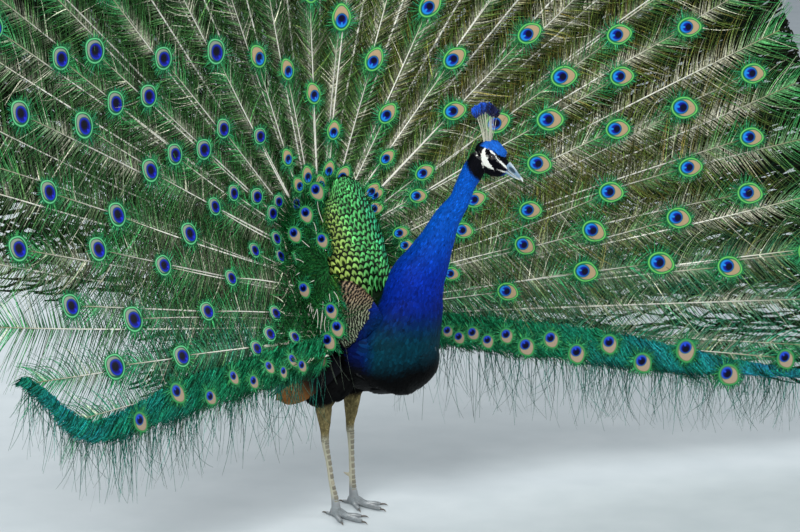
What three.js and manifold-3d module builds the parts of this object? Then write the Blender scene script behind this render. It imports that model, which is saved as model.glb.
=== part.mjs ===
// A peacock in display, life size: a standing bird with its train raised in a fan.
// Millimetres, +Z up, the floor at z = 0. The open side of the fan faces -Y, and
// +X is the bird's left. The body is turned a little from the fan's own front.
import * as THREE from "three";
import { mergeVertices } from "three/addons/utils/BufferGeometryUtils.js";
import Module from "manifold-3d";

// ---- Driving dimensions ----------------------------------------------------
const GAP = 0.3; // air left between two neighbours
const BODY_TURN = 25; // degrees from the fan's front to the bird's own front
const HEAD_TURN = 47; // degrees from the fan's front to where the bill points
const HEAD_DIP = 45; // degrees that the bill hangs below level

const TRAIN_ROOT = new THREE.Vector3(0, 0, 550); // where the quills meet
const ROOT_LEFT = new THREE.Vector3(118, -5, 386); // quills at the bird's left flank
const ROOT_RIGHT = new THREE.Vector3(-62, -134, 368); // quills at its right flank
const FAN_LOW_LEFT = -11; // degrees, the lowest quill on the +X side
const FAN_LOW_RIGHT = 184; // degrees, the lowest quill on the -X side
const BLEND_LEFT = 34; // below this angle the quills' feet move to the left flank
const BLEND_RIGHT = 146; // above this one they move to the right flank
const FAN_FOLD = 14; // degrees that each half folds forward
const FAN_CREASE = 60; // how softly the two halves meet
const FAN_TOP = 1265; // reach of the longest feathers
const FAN_SIDE = 1130; // reach of the feathers at the sides
const FAN_CUP = 0.00003; // how fast the tips bend forward, with the square of the reach
const RIGHT_CORNER = { from: 158, to: 190, cut: 0.42 }; // short feathers, right corner
const LEFT_CORNER = { from: 2, to: FAN_LOW_LEFT, cut: 0.05 };
const FAN_THICK = 2.4;
const FAN_PANELS = 12;
const TIPS_PER_PANEL = 4;
const TIP_DEPTH = 46; // how far the notches between feather tips cut in
const PANEL_ROWS = [0.06, 0.32, 1]; // shares of the reach where a panel's facets meet

const TAIL_REACH = 430; // the stiff brown tail that props the train
const TAIL_FEATHERS = 20;
const TAIL_THICK = 3;
const TAIL_ROOT = new THREE.Vector3(-14, 38, 524);
const TAIL_LOW_LEFT = -8;
const TAIL_LOW_RIGHT = 188;
const TAIL_FOLD = 0.8; // share of the train's fold
const TAIL_NOTCH = 12;
const TAIL_ROWS = [0.14, 1];

const HEAD_CENTRE = new THREE.Vector3(198.6, -340.3, 786);
const EYE_RADIUS = 6.2;
const HOCK_HEIGHT = 163;
const ANKLE_HEIGHT = 27;

// ---- Materials -------------------------------------------------------------
const paint = (color, roughness, metalness = 0) =>
  new THREE.MeshStandardMaterial({ color, roughness, metalness });

const BLUE_FEATHER = paint(0x1438b4, 0.45, 0.2);
const FACE_FEATHER = paint(0x0c2a86, 0.5);
const SCALE_FEATHER = paint(0x4f9a3c, 0.42, 0.25);
const WING_FEATHER = paint(0x8d8468, 0.7);
const QUILL_FEATHER = paint(0x8a5330, 0.7);
const BLACK_FEATHER = paint(0x14181a, 0.75);
const BUFF_FEATHER = paint(0xa9916c, 0.85);
const FLUFF_FEATHER = paint(0x6d6459, 0.95);
const TAIL_FEATHER = paint(0x6f5d4a, 0.8);
const TRAIN_FEATHER = paint(0x4c6a38, 0.55, 0.1);
const EDGE_FEATHER = paint(0x1f7d52, 0.5, 0.1);
const CREST_FEATHER = paint(0x173f9e, 0.5);
const LEG_SKIN = paint(0x8c8273, 0.65);
const HORN = paint(0x4a4844, 0.4);
const BILL_HORN = paint(0x8b98a6, 0.4);
const EYEBALL = paint(0x1a0d08, 0.08);

// ---- Small tools -----------------------------------------------------------
const wasm = await Module();
wasm.setup();
const RAD = Math.PI / 180;
const UP = new THREE.Vector3(0, 0, 1);

// A point given as forward, left and up of the standing bird.
function at(forward, left, up) {
  const turn = BODY_TURN * RAD;
  const x = forward * Math.sin(turn) + left * Math.cos(turn);
  const y = -forward * Math.cos(turn) + left * Math.sin(turn);
  return new THREE.Vector3(x, y, up);
}

// A smooth 0 to 1 step while value runs from one end to the other.
function ease(value, from, to) {
  const t = THREE.MathUtils.clamp((value - from) / (to - from), 0, 1);
  return t * t * (3 - 2 * t);
}

// A closed geometry as a solid that can be joined and cut.
function solid(geometry) {
  const bare = geometry.clone();
  bare.deleteAttribute("normal");
  bare.deleteAttribute("uv");
  const merged = mergeVertices(bare, 1e-4);
  return new wasm.Manifold(new wasm.Mesh({
    numProp: 3,
    vertProperties: new Float32Array(merged.attributes.position.array),
    triVerts: new Uint32Array(merged.index.array),
  }));
}

// A cut can leave crumbs; the piece itself is the largest of what is left.
function mainPiece(form) {
  const pieces = form.decompose();
  return pieces.reduce((a, b) => (b.volume() > a.volume() ? b : a));
}

function unite(forms) {
  return forms.reduce((whole, form) => whole.add(form));
}

function cutBy(form, others) {
  return others.reduce((rest, other) => rest.subtract(other), form);
}

// What lies on the side of a plane that its normal points to.
function keepAbove(form, point, normal) {
  const n = normal.clone().normalize();
  return form.trimByPlane(n.toArray(), n.dot(point) + GAP / 2);
}

function keepBelow(form, point, normal) {
  return keepAbove(form, point, normal.clone().negate());
}

function toGeometry(form) {
  const made = form.getMesh();
  const geometry = new THREE.BufferGeometry();
  geometry.setAttribute("position", new THREE.BufferAttribute(made.vertProperties, 3));
  geometry.setIndex(new THREE.BufferAttribute(made.triVerts, 1));
  return geometry;
}

const bird = new THREE.Group();

function addPart(name, form, material) {
  const mesh = new THREE.Mesh(toGeometry(mainPiece(form)), material);
  mesh.name = name;
  bird.add(mesh);
}

// A rounded limb: oval rings along a smooth path through its stations. Each
// station is [centre, half width, half height]; width lies along `across`.
function limb(stations, { across, sides = 16, rings = 14, grow = 0 }) {
  const path = new THREE.CatmullRomCurve3(stations.map(([centre]) => centre));
  const radii = new THREE.CatmullRomCurve3(
    stations.map(([, wide, high]) => new THREE.Vector3(wide, high, 0)));
  const positions = [];
  const indices = [];
  const pole = (t, outward) => path.getPoint(t)
    .addScaledVector(path.getTangent(t), outward * (grow + 0.5));
  positions.push(...pole(0, -1).toArray());
  for (let i = 0; i <= rings; i++) {
    const t = i / rings;
    const centre = path.getPoint(t);
    const along = path.getTangent(t);
    const side = across.clone().addScaledVector(along, -across.dot(along)).normalize();
    const rise = along.clone().cross(side);
    const size = radii.getPoint(t);
    for (let j = 0; j < sides; j++) {
      const angle = (2 * Math.PI * j) / sides;
      const point = centre.clone()
        .addScaledVector(side, (Math.max(size.x, 0.3) + grow) * Math.cos(angle))
        .addScaledVector(rise, (Math.max(size.y, 0.3) + grow) * Math.sin(angle));
      positions.push(...point.toArray());
    }
  }
  positions.push(...pole(1, 1).toArray());
  const last = positions.length / 3 - 1;
  for (let j = 0; j < sides; j++) {
    const k = (j + 1) % sides;
    indices.push(0, 1 + k, 1 + j);
    for (let i = 0; i < rings; i++) {
      const a = 1 + i * sides + j;
      const b = 1 + i * sides + k;
      indices.push(a, b, a + sides, b, b + sides, a + sides);
    }
    indices.push(last, last - sides + j, last - sides + k);
  }
  const geometry = new THREE.BufferGeometry();
  geometry.setAttribute("position", new THREE.BufferAttribute(new Float32Array(positions), 3));
  geometry.setIndex(indices);
  return solid(geometry);
}

// A thin leaf: the surface point(u, v) for u and v from 0 to 1, given a
// thickness along -Y and +Y, with its rim closed. +u runs anticlockwise seen
// from the front, and +v outwards.
function leaf(point, columns, rows, thick) {
  const positions = [];
  for (const side of [-0.5, 0.5]) {
    for (let i = 0; i <= columns; i++) {
      for (let j = 0; j <= rows; j++) {
        const p = point(i / columns, j / rows);
        positions.push(p.x, p.y + side * thick, p.z);
      }
    }
  }
  const stride = rows + 1;
  const back = (columns + 1) * stride;
  const indices = [];
  const quad = (a, b, c, d) => indices.push(a, b, c, a, c, d);
  for (let i = 0; i < columns; i++) {
    for (let j = 0; j < rows; j++) {
      const a = i * stride + j;
      quad(a, a + 1, a + stride + 1, a + stride);
      quad(back + a, back + a + stride, back + a + stride + 1, back + a + 1);
    }
    const inner = i * stride;
    const outer = i * stride + rows;
    quad(inner, inner + stride, back + inner + stride, back + inner);
    quad(outer, back + outer, back + outer + stride, outer + stride);
  }
  for (let j = 0; j < rows; j++) {
    const first = j;
    const end = columns * stride + j;
    quad(first, back + first, back + first + 1, first + 1);
    quad(end, end + 1, back + end + 1, back + end);
  }
  const geometry = new THREE.BufferGeometry();
  geometry.setAttribute("position", new THREE.BufferAttribute(new Float32Array(positions), 3));
  geometry.setIndex(indices);
  return solid(geometry);
}

// ---- Trunk and neck --------------------------------------------------------
// Stations run from the raised rump to the breast: forward, up, half width,
// half height, all on the bird's middle plane.
const LEFTWARD = at(0, 1, 0);
const TRUNK = [
  [-112, 505, 8, 10], [-92, 497, 34, 36], [-55, 470, 60, 66], [0, 428, 80, 92],
  [60, 398, 91, 104], [120, 378, 95, 108], [180, 368, 91, 103], [232, 367, 74, 85],
  [268, 373, 42, 52], [284, 377, 8, 10],
].map(([forward, up, wide, high]) => [at(forward, 0, up), wide, high]);

// From the nape down to inside the breast: forward, left, up, and the radii.
const NECK = [
  [374, 28, 784, 19, 24], [358, 23, 757, 20, 25], [343, 18, 727, 19.5, 23],
  [331, 14, 695, 21, 23.5],
  [303, 10, 652, 27, 30], [282, 7, 607, 34, 38], [259, 4, 560, 45, 50],
  [240, 1, 523, 55, 60], [227, 0, 482, 60, 66], [214, 0, 438, 66, 70], [182, 0, 392, 60, 60],
].map(([forward, left, up, wide, deep]) => [at(forward, left, up), wide, deep]);

const trunkForm = (grow) => limb(TRUNK, { across: LEFTWARD, sides: 14, rings: 12, grow });
const neckForm = (grow) => limb(NECK, { across: LEFTWARD, sides: 14, rings: 14, grow });

// ---- Head ------------------------------------------------------------------
// The head has its own frame: x to the bill, y to its left, z up.
const headPlace = new THREE.Matrix4()
  .makeTranslation(HEAD_CENTRE)
  .multiply(new THREE.Matrix4().makeRotationZ((HEAD_TURN - 90) * RAD))
  .multiply(new THREE.Matrix4().makeRotationY(HEAD_DIP * RAD));
const inHead = (x, y, z) => new THREE.Vector3(x, y, z).applyMatrix4(headPlace);
const HEAD_LEFT = new THREE.Vector3(0, 1, 0).transformDirection(headPlace);

const headLimb = (stations, options) => limb(
  stations.map(([x, z, wide, high]) => [inHead(x, 0, z), wide, high]),
  { across: HEAD_LEFT, ...options });

const SKULL = [
  [-37, 4, 5, 6], [-32, 3, 13, 16], [-24, 2, 18, 25], [-8, 2, 22, 32], [9, 0, 21.5, 33],
  [21, 0, 17, 29], [30, 2.5, 13, 23], [37, 6, 9.5, 17], [42, 9, 7.5, 11.5],
];
const UPPER_BILL = [
  [34, 13, 8, 9], [46, 13, 7.2, 8], [58, 12.8, 5.6, 6], [68, 13.2, 3.8, 4],
  [76, 13.3, 2.2, 2.4], [82, 11.8, 0.7, 0.9],
];
const LOWER_BILL = [
  [35, 1.2, 7, 3.2], [46, 1.5, 6.2, 2.9], [58, 4.1, 4.6, 2.2], [68, 7.3, 2.6, 1.4],
  [74, 9.6, 0.8, 0.7],
];
const EYE_PLACE = { x: 1, y: 17.4, z: 5 };

function makeEye(side, grow = 0) {
  const ball = new THREE.SphereGeometry(EYE_RADIUS + grow, 10, 7);
  const place = inHead(EYE_PLACE.x, side * EYE_PLACE.y, EYE_PLACE.z);
  ball.translate(place.x, place.y, place.z);
  return solid(ball);
}

// The crest: bare shafts that open as a fan in the head's middle plane and end
// in small round vanes, on a pad that sits on the crown.
const CREST = { shafts: 8, rear: 100, front: 83, reach: 80, arch: 7, vane: 24, spread: 15 };

function makeCrest() {
  const { shafts } = CREST;
  const ahead = new THREE.Vector3(Math.sin(HEAD_TURN * RAD), -Math.cos(HEAD_TURN * RAD), 0);
  const foot = HEAD_CENTRE.clone().addScaledVector(ahead, -6).addScaledVector(UP, 33);
  const forms = [limb([
    [foot.clone().addScaledVector(ahead, -13).addScaledVector(UP, -3), 2, 2],
    [foot.clone().addScaledVector(ahead, -2).addScaledVector(UP, 1.5), 4, 4],
    [foot.clone().addScaledVector(ahead, 9).addScaledVector(UP, -3), 2, 2],
  ], { across: HEAD_LEFT, sides: 6, rings: 3 })];
  for (let i = 0; i < shafts; i++) {
    const share = i / (shafts - 1);
    const angle = (CREST.rear + (CREST.front - CREST.rear) * share) * RAD;
    const reach = CREST.reach - CREST.arch * (2 * share - 1) ** 2;
    const lean = new THREE.Vector3()
      .addScaledVector(ahead, Math.cos(angle))
      .addScaledVector(UP, Math.sin(angle));
    const start = foot.clone().addScaledVector(ahead, -9.5 + CREST.spread * share);
    const tip = start.clone().addScaledVector(lean, reach - CREST.vane);
    const end = start.clone().addScaledVector(lean, reach);
    const middle = tip.clone().lerp(end, 0.55);
    forms.push(limb([[start, 0.7, 0.7], [tip, 0.6, 0.7]],
      { across: HEAD_LEFT, sides: 4, rings: 1 }));
    forms.push(limb([[tip, 0.7, 0.8], [middle, 1.6, 5.5], [end, 0.6, 0.8]],
      { across: HEAD_LEFT, sides: 4, rings: 2 }));
  }
  return unite(forms);
}

// ---- Back, wings and rump --------------------------------------------------
// The scaled back rises behind the neck as a rounded shield before the fan.
const BACK = [
  [[112, 0, 430], 70, 52], [[88, 9, 500], 91, 62], [[70, 18, 560], 102, 54],
  [[58, 21, 620], 99, 38], [[50, 19, 670], 80, 24], [[46, 14, 704], 38, 10],
].map(([place, wide, deep]) => [at(...place), wide, deep]);
const backForm = (grow) => limb(BACK, { across: LEFTWARD, sides: 10, rings: 8, grow });

// A folded wing lies on the flank; forward, left, up, half thickness, half height.
const WING = [
  [196, 70, 442, 5, 12], [170, 83, 448, 13, 44], [126, 92, 452, 17, 67],
  [66, 93, 438, 17, 66], [8, 86, 410, 13, 48], [-52, 78, 376, 5, 12],
];
// The flight feathers droop below the wing to the rear.
const PRIMARIES = [
  [110, 98, 346, 3, 12], [60, 98, 322, 4, 27], [6, 94, 284, 4, 28],
  [-34, 88, 257, 3, 18], [-58, 84, 240, 2, 5],
];
const sided = (stations, side) => stations.map(([forward, left, up, thick, high]) =>
  [at(forward, side * left, up), thick, high]);
const wingForm = (side, grow) => limb(sided(WING, side),
  { across: LEFTWARD, sides: 10, rings: 9, grow });
const primariesForm = (side, grow) => limb(sided(PRIMARIES, side),
  { across: LEFTWARD, sides: 8, rings: 7, grow });

// Soft down under the raised tail, behind the fan.
const DOWN = [
  [[-52, 0, 400], 46, 34], [[-84, 0, 440], 62, 46], [[-108, 0, 490], 58, 40],
  [[-118, 0, 540], 34, 24], [[-120, 0, 566], 8, 8],
].map(([place, wide, deep]) => [at(...place), wide, deep]);

// ---- Legs ------------------------------------------------------------------
// The places differ a little from leg to leg: the bird stands with its weight
// over both feet and its left foot a little behind the right.
const LEGS = {
  right: { side: -1, hock: [50, -62], ankle: [71, -59], toeTurn: 14, kneeAhead: -7 },
  left: { side: 1, hock: [50, 42], ankle: [53, 45], toeTurn: 12, kneeAhead: 6 },
};
const TOES = [
  { name: "middle", turn: 0, reach: 82, thick: 8 },
  { name: "inner", turn: 34, reach: 58, thick: 7 },
  { name: "outer", turn: -32, reach: 62, thick: 7 },
  { name: "rear", turn: 176, reach: 27, thick: 5.5 },
];
const CLAW = 15;
const TOE_HEIGHT = 0.72; // height of a toe's middle line over its thickness

function thighForm({ side, hock }, grow) {
  const [forward, left] = hock;
  const out = side * 6;
  return limb([
    [at(92, side * 52, 352), 30, 46], [at(66, side * 60, 312), 33, 56],
    [at(forward - 4, left + out, 276), 27, 50],
    [at(forward - 8, left + out, 250), 17, 36], [at(forward - 8, left + out, 238), 5, 12],
  ], { across: LEFTWARD, sides: 10, rings: 8, grow });
}

function shankForm({ hock, kneeAhead }, grow) {
  const [forward, left] = hock;
  return limb([
    [at(forward + kneeAhead, left, 286), 17, 26],
    [at(forward + kneeAhead * 0.7, left, 246), 15.5, 21],
    [at(forward + kneeAhead * 0.3, left, 208), 12, 15], [at(forward - 1, left, 180), 8, 10.5],
    [at(forward - 1, left, 156), 7.5, 9.5],
  ], { across: LEFTWARD, sides: 8, rings: 6, grow });
}

// The bare leg with its spur, from the hock down to the ankle.
function tarsusForm({ side, hock, ankle }) {
  const shaft = limb([
    [at(hock[0] - 1, hock[1], 172), 7.5, 9.5], [at(hock[0], hock[1], 155), 6.5, 8.5],
    [at((hock[0] * 2 + ankle[0]) / 3, (hock[1] * 2 + ankle[1]) / 3, 118), 5.2, 6.8],
    [at((hock[0] + ankle[0] * 2) / 3, (hock[1] + ankle[1] * 2) / 3, 72), 5.2, 6.8],
    [at(ankle[0], ankle[1], 38), 7, 8.5], [at(ankle[0] + 1, ankle[1], 12), 8, 9.5],
  ], { across: LEFTWARD, sides: 8, rings: 7 });
  const root = at(ankle[0] - 8, ankle[1] - side * 2, 66);
  const spur = limb([
    [root, 4, 4], [at(ankle[0] - 13, ankle[1] - side * 5, 68), 3, 3.2],
    [at(ankle[0] - 19, ankle[1] - side * 8, 72), 1, 1.1],
  ], { across: LEFTWARD, sides: 6, rings: 3 });
  return shaft.add(spur);
}

// The pad under the ankle, from which the toes leave.
function padForm({ ankle: [forward, left] }) {
  return limb([
    [at(forward + 2, left, ANKLE_HEIGHT + 6), 8, 9.5], [at(forward + 3, left, 18), 9, 11],
    [at(forward + 3, left, 7), 10, 12.5], [at(forward + 3, left, -4), 8, 10],
  ], { across: LEFTWARD, sides: 8, rings: 4 });
}

// Where a toe runs: from the ankle outwards along the floor.
function toeLine({ side, ankle, toeTurn }, toe) {
  const heading = (-toeTurn + side * -toe.turn) * RAD;
  return (reach, up) => at(
    ankle[0] + reach * Math.cos(heading), ankle[1] + reach * Math.sin(heading), up);
}

function toeForm(leg, toe) {
  const place = toeLine(leg, toe);
  const rest = toe.thick * TOE_HEIGHT;
  const across = UP.clone().cross(place(1, 0).sub(place(0, 0)));
  return limb([
    [place(-2, 17), toe.thick, toe.thick], [place(toe.reach * 0.16, 12), toe.thick, 8],
    [place(toe.reach * 0.45, rest), toe.thick * 0.8, toe.thick * 0.8],
    [place(toe.reach * 0.8, rest * 0.85), toe.thick * 0.72, toe.thick * 0.72],
    [place(toe.reach, rest * 0.7), toe.thick * 0.45, toe.thick * 0.5],
  ], { across, sides: 7, rings: 3 });
}

function clawForm(leg, toe) {
  const place = toeLine(leg, toe);
  const across = UP.clone().cross(place(1, 0).sub(place(0, 0)));
  const rest = toe.thick * 0.5;
  return limb([
    [place(toe.reach + 1.4, rest), 2, 2.1], [place(toe.reach + CLAW * 0.4, rest + 0.8), 1.7, 1.9],
    [place(toe.reach + CLAW * 0.75, rest), 1.1, 1.3], [place(toe.reach + CLAW, 1.3), 0.4, 0.5],
  ], { across, sides: 5, rings: 3 });
}

// ---- Train and tail --------------------------------------------------------
// A point of the fan's middle surface, by the angle of the quill it lies on and
// the reach along it. Quills near the lower edges start at the flanks instead
// of the top of the rump, and each half of the fan folds forward.
function fanPoint(angle, reach) {
  const toLeft = ease(angle, BLEND_LEFT, FAN_LOW_LEFT);
  const toRight = ease(angle, BLEND_RIGHT, FAN_LOW_RIGHT);
  const root = TRAIN_ROOT.clone().lerp(ROOT_LEFT, toLeft).lerp(ROOT_RIGHT, toRight);
  const run = reach * Math.cos(angle * RAD);
  const fold = Math.hypot(run, FAN_CREASE) - FAN_CREASE;
  return new THREE.Vector3(
    root.x + run * Math.cos(FAN_FOLD * RAD),
    root.y - fold * Math.sin(FAN_FOLD * RAD) - FAN_CUP * reach * reach,
    root.z + reach * Math.sin(angle * RAD));
}

// How far the feathers reach at an angle: longest at the top, and cut back at
// the lower corner on the -X side, where the edge feathers are short.
function fanReach(angle) {
  const side = FAN_SIDE + (FAN_TOP - FAN_SIDE) * Math.sin(angle * RAD) ** 2;
  const cut = ({ from, to, cut: most }) => most * ease(angle, from, to);
  return side * (1 - cut(RIGHT_CORNER) - cut(LEFT_CORNER));
}

// One panel of train feathers between two angles, its rim notched into tips.
function trainPanel(from, to) {
  const span = to - from;
  const margin = (GAP / FAN_SIDE) / RAD;
  return leaf((u, v) => {
    const angle = from + margin + (span - 2 * margin) * u;
    const notch = Math.abs(Math.cos(Math.PI * TIPS_PER_PANEL * u)) ** 1.5;
    const rim = fanReach(angle) - TIP_DEPTH * notch;
    return fanPoint(angle, PANEL_ROWS[Math.round(v * (PANEL_ROWS.length - 1))] * rim);
  }, TIPS_PER_PANEL * 2, PANEL_ROWS.length - 1, FAN_THICK);
}

// The lower edge of the fan: a band of sword feathers, one web each, and the
// loose barbs that hang from it in tapering strands of uneven length.
const EDGE_TAPER = { from: 0.86, thinned: 0.8 }; // where the band thins, and by how much
const EDGE_BEGIN = 0.12; // share of the band over which the barbs grow to full length
const STRAND_LENGTHS = { middle: 0.62, swing: 0.38, slow: 7, fast: 19, shift: 1.3 };
const BAND_TOP = -1.2;

function trainEdge(angle, { from, to, web, strands, hang }) {
  const onLeft = Math.cos(angle * RAD) > 0;
  return leaf((u, v) => {
    const share = onLeft ? 1 - u : u;
    const reach = from + (to - from) * share;
    const top = fanPoint(angle, reach);
    const taper = 1 - ease(share, EDGE_TAPER.from, 1) * EDGE_TAPER.thinned;
    const strand = Math.abs(((u * strands) % 1) - 0.5) * 2;
    const { middle, swing, slow, fast, shift } = STRAND_LENGTHS;
    const uneven = middle + swing * Math.sin(slow * share + shift) * Math.cos(fast * share);
    const length = hang * uneven * ease(share, 0, EDGE_BEGIN) * (1 - share / 2) * (1 - strand) ** 2;
    const depths = [-web * taper - length, -web * taper / 2, BAND_TOP];
    top.z += depths[Math.round(v * 2)];
    return top;
  }, strands * 2, 2, FAN_THICK);
}

// The stiff tail stands behind the train: a plain fan of broad brown feathers.
function tailFan() {
  return leaf((u, v) => {
    const angle = TAIL_LOW_LEFT + (TAIL_LOW_RIGHT - TAIL_LOW_LEFT) * u;
    const notch = Math.abs(Math.cos(Math.PI * TAIL_FEATHERS * u)) ** 2;
    const reach = (TAIL_REACH - TAIL_NOTCH * notch) * TAIL_ROWS[Math.round(v)];
    const run = reach * Math.cos(angle * RAD);
    const fold = Math.hypot(run, FAN_CREASE) - FAN_CREASE;
    return new THREE.Vector3(
      TAIL_ROOT.x + run * Math.cos(FAN_FOLD * RAD),
      TAIL_ROOT.y - fold * Math.sin(FAN_FOLD * RAD) * TAIL_FOLD,
      TAIL_ROOT.z + reach * Math.sin(angle * RAD));
  }, TAIL_FEATHERS * 2, TAIL_ROWS.length - 1, TAIL_THICK);
}

// ---- Assembly --------------------------------------------------------------
// Head, neck and trunk are one form, parted by thin cuts.
const eyes = { left: makeEye(1), right: makeEye(-1) };
const lowerBill = headLimb(LOWER_BILL, { sides: 8, rings: 6 });
const upperBill = headLimb(UPPER_BILL, { sides: 10, rings: 7 });
const lowerSpace = headLimb(LOWER_BILL, { sides: 8, rings: 6, grow: GAP });
const torso = unite([headLimb(SKULL, { sides: 14, rings: 10 }), neckForm(0), trunkForm(0)]);
const throat = { point: at(349, 20, 738), normal: at(20, 5, 37) };
const midNeck = { point: at(272, 6, 588), normal: at(24, 3, 50) };
const shoulder = { point: at(214, 0, 444), normal: at(46, 0, 60) };

const socketed = cutBy(keepAbove(torso, throat.point, throat.normal), [
  makeEye(1, GAP), makeEye(-1, GAP),
  headLimb(UPPER_BILL, { sides: 10, rings: 7, grow: GAP }), lowerSpace,
]);
addPart("head", socketed, FACE_FEATHER);
addPart("bill_upper", upperBill.subtract(lowerSpace), BILL_HORN);
addPart("bill_lower", lowerBill, BILL_HORN);
addPart("eye_left", eyes.left, EYEBALL);
addPart("eye_right", eyes.right, EYEBALL);
const crestSeat = headLimb(SKULL, { sides: 14, rings: 10, grow: GAP });
addPart("crest", makeCrest().subtract(crestSeat), CREST_FEATHER);

const belowHead = keepBelow(torso, throat.point, throat.normal);
addPart("neck_upper", keepAbove(belowHead, midNeck.point, midNeck.normal), BLUE_FEATHER);
const belowMiddle = keepBelow(belowHead, midNeck.point, midNeck.normal);
addPart("neck_lower", keepAbove(belowMiddle, shoulder.point, shoulder.normal), BLUE_FEATHER);
addPart("trunk", keepBelow(belowMiddle, shoulder.point, shoulder.normal), BLUE_FEATHER);

const torsoSpace = [trunkForm(GAP), neckForm(GAP)];
addPart("back", cutBy(backForm(0), torsoSpace), SCALE_FEATHER);
const flankSpace = [...torsoSpace, backForm(GAP)];
addPart("under_tail", cutBy(limb(DOWN, { across: LEFTWARD, sides: 10, rings: 7 }), torsoSpace),
  FLUFF_FEATHER);

const bodySpace = [...flankSpace, limb(DOWN, { across: LEFTWARD, sides: 10, rings: 7, grow: GAP })];
for (const [name, leg] of Object.entries(LEGS)) {
  const wing = cutBy(wingForm(leg.side, 0), flankSpace);
  const wingSpace = wingForm(leg.side, GAP);
  const thighSpace = thighForm(leg, GAP);
  addPart(`wing_${name}`, wing, WING_FEATHER);
  const quills = cutBy(primariesForm(leg.side, 0), [...flankSpace, wingSpace, thighSpace]);
  addPart(`primaries_${name}`, quills, QUILL_FEATHER);
  addPart(`thigh_${name}`, cutBy(thighForm(leg, 0), [...flankSpace, wingSpace]), BLACK_FEATHER);
  bodySpace.push(wingSpace, thighSpace, primariesForm(leg.side, GAP));

  const hock = at(leg.hock[0], leg.hock[1], HOCK_HEIGHT);
  const ankle = at(leg.ankle[0], leg.ankle[1], ANKLE_HEIGHT);
  const shank = keepAbove(shankForm(leg, 0), hock, UP);
  addPart(`shank_${name}`, cutBy(shank, [...torsoSpace, thighSpace]), BUFF_FEATHER);
  const tarsus = keepAbove(keepBelow(tarsusForm(leg), hock, UP), ankle, UP);
  addPart(`tarsus_${name}`, tarsus, LEG_SKIN);

  const foot = unite([padForm(leg), ...TOES.map((toe) => toeForm(leg, toe))]);
  const sole = foot.trimByPlane([0, 0, 1], 0);
  addPart(`foot_${name}`, keepBelow(sole, ankle, UP), LEG_SKIN);
  for (const toe of TOES) addPart(`claw_${name}_${toe.name}`, clawForm(leg, toe), HORN);
}

// The train's panels keep clear of the body that they rise behind.
const step = (FAN_LOW_RIGHT - FAN_LOW_LEFT) / FAN_PANELS;
for (let i = 0; i < FAN_PANELS; i++) {
  const from = FAN_LOW_LEFT + i * step;
  const panel = cutBy(trainPanel(from, from + step), bodySpace);
  addPart(`train_${String(i + 1).padStart(2, "0")}`, panel, TRAIN_FEATHER);
}
const EDGES = {
  train_edge_right: { angle: FAN_LOW_RIGHT, from: 30, to: 672, web: 44, strands: 12, hang: 180 },
  train_edge_left: { angle: FAN_LOW_LEFT, from: 60, to: 1040, web: 42, strands: 14, hang: 180 },
};
for (const [name, edge] of Object.entries(EDGES)) {
  addPart(name, cutBy(trainEdge(edge.angle, edge), bodySpace), EDGE_FEATHER);
}
addPart("tail", cutBy(tailFan(), bodySpace), TAIL_FEATHER);

// The origin is on the floor, under the middle of the whole bird.
const reach = new THREE.Box3().setFromObject(bird);
const middle = reach.getCenter(new THREE.Vector3());
bird.position.set(-middle.x, -middle.y, -reach.min.z);

export default bird;
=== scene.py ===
import math

import bmesh
import bpy
import numpy as np
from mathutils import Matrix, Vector


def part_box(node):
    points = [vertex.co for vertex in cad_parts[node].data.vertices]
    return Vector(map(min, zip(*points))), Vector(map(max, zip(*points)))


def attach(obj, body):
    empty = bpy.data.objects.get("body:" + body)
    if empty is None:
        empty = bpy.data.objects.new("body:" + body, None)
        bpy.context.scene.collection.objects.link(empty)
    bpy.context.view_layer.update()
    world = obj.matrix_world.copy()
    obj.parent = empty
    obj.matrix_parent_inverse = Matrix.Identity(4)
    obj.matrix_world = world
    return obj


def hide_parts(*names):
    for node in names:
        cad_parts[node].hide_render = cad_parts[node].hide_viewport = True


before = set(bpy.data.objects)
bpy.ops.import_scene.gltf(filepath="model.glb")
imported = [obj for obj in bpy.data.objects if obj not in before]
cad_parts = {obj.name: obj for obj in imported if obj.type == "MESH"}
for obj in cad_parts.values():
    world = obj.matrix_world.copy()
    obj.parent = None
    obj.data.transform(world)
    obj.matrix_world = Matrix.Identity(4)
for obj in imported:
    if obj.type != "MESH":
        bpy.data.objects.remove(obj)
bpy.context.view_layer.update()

chance = np.random.default_rng(11)

# ---- Camera ----------------------------------------------------------------
# A long lens looks at the bird from its right front, from a little above.
SIGHT_TURN = math.radians(-35)
SIGHT_RISE = math.radians(11)
SIGHT_DISTANCE = 7.0
SIGHT_LENS = 148.6
SIGHT_AIM = Vector((0.070, 0.021, 0.527))
sight = Vector((math.sin(SIGHT_TURN) * math.cos(SIGHT_RISE),
                -math.cos(SIGHT_TURN) * math.cos(SIGHT_RISE),
                math.sin(SIGHT_RISE)))
camera = bpy.data.objects.new("camera", bpy.data.cameras.new("camera"))
camera.data.lens = SIGHT_LENS
camera.data.clip_end = 200
camera.location = SIGHT_AIM + sight * SIGHT_DISTANCE
camera.rotation_mode = "QUATERNION"
camera.rotation_quaternion = sight.to_track_quat("Z", "Y")
bpy.context.scene.collection.objects.link(camera)
bpy.context.scene.camera = camera

# ---- Floor and light -------------------------------------------------------
# A plain pale studio floor, a wide soft lamp high on the bird's right, a
# weaker one on its left and one behind, and a pale room around them.
FLOOR_REACH = 60.0
FLOOR_DIM, FLOOR_PALE = "b9c3c6", "ccd4d6"
ROOM_COLOUR = (0.86, 0.92, 1.0, 1)
ROOM_STRENGTH = 0.46
# place, size and power
LAMPS = {
    "key": ((-4.6, -3.6, 5.2), 3.0, 460),
    "fill": ((4.4, -4.2, 3.0), 3.5, 130),
    "rear": ((1.0, 4.8, 4.2), 3.0, 150),
}


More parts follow.
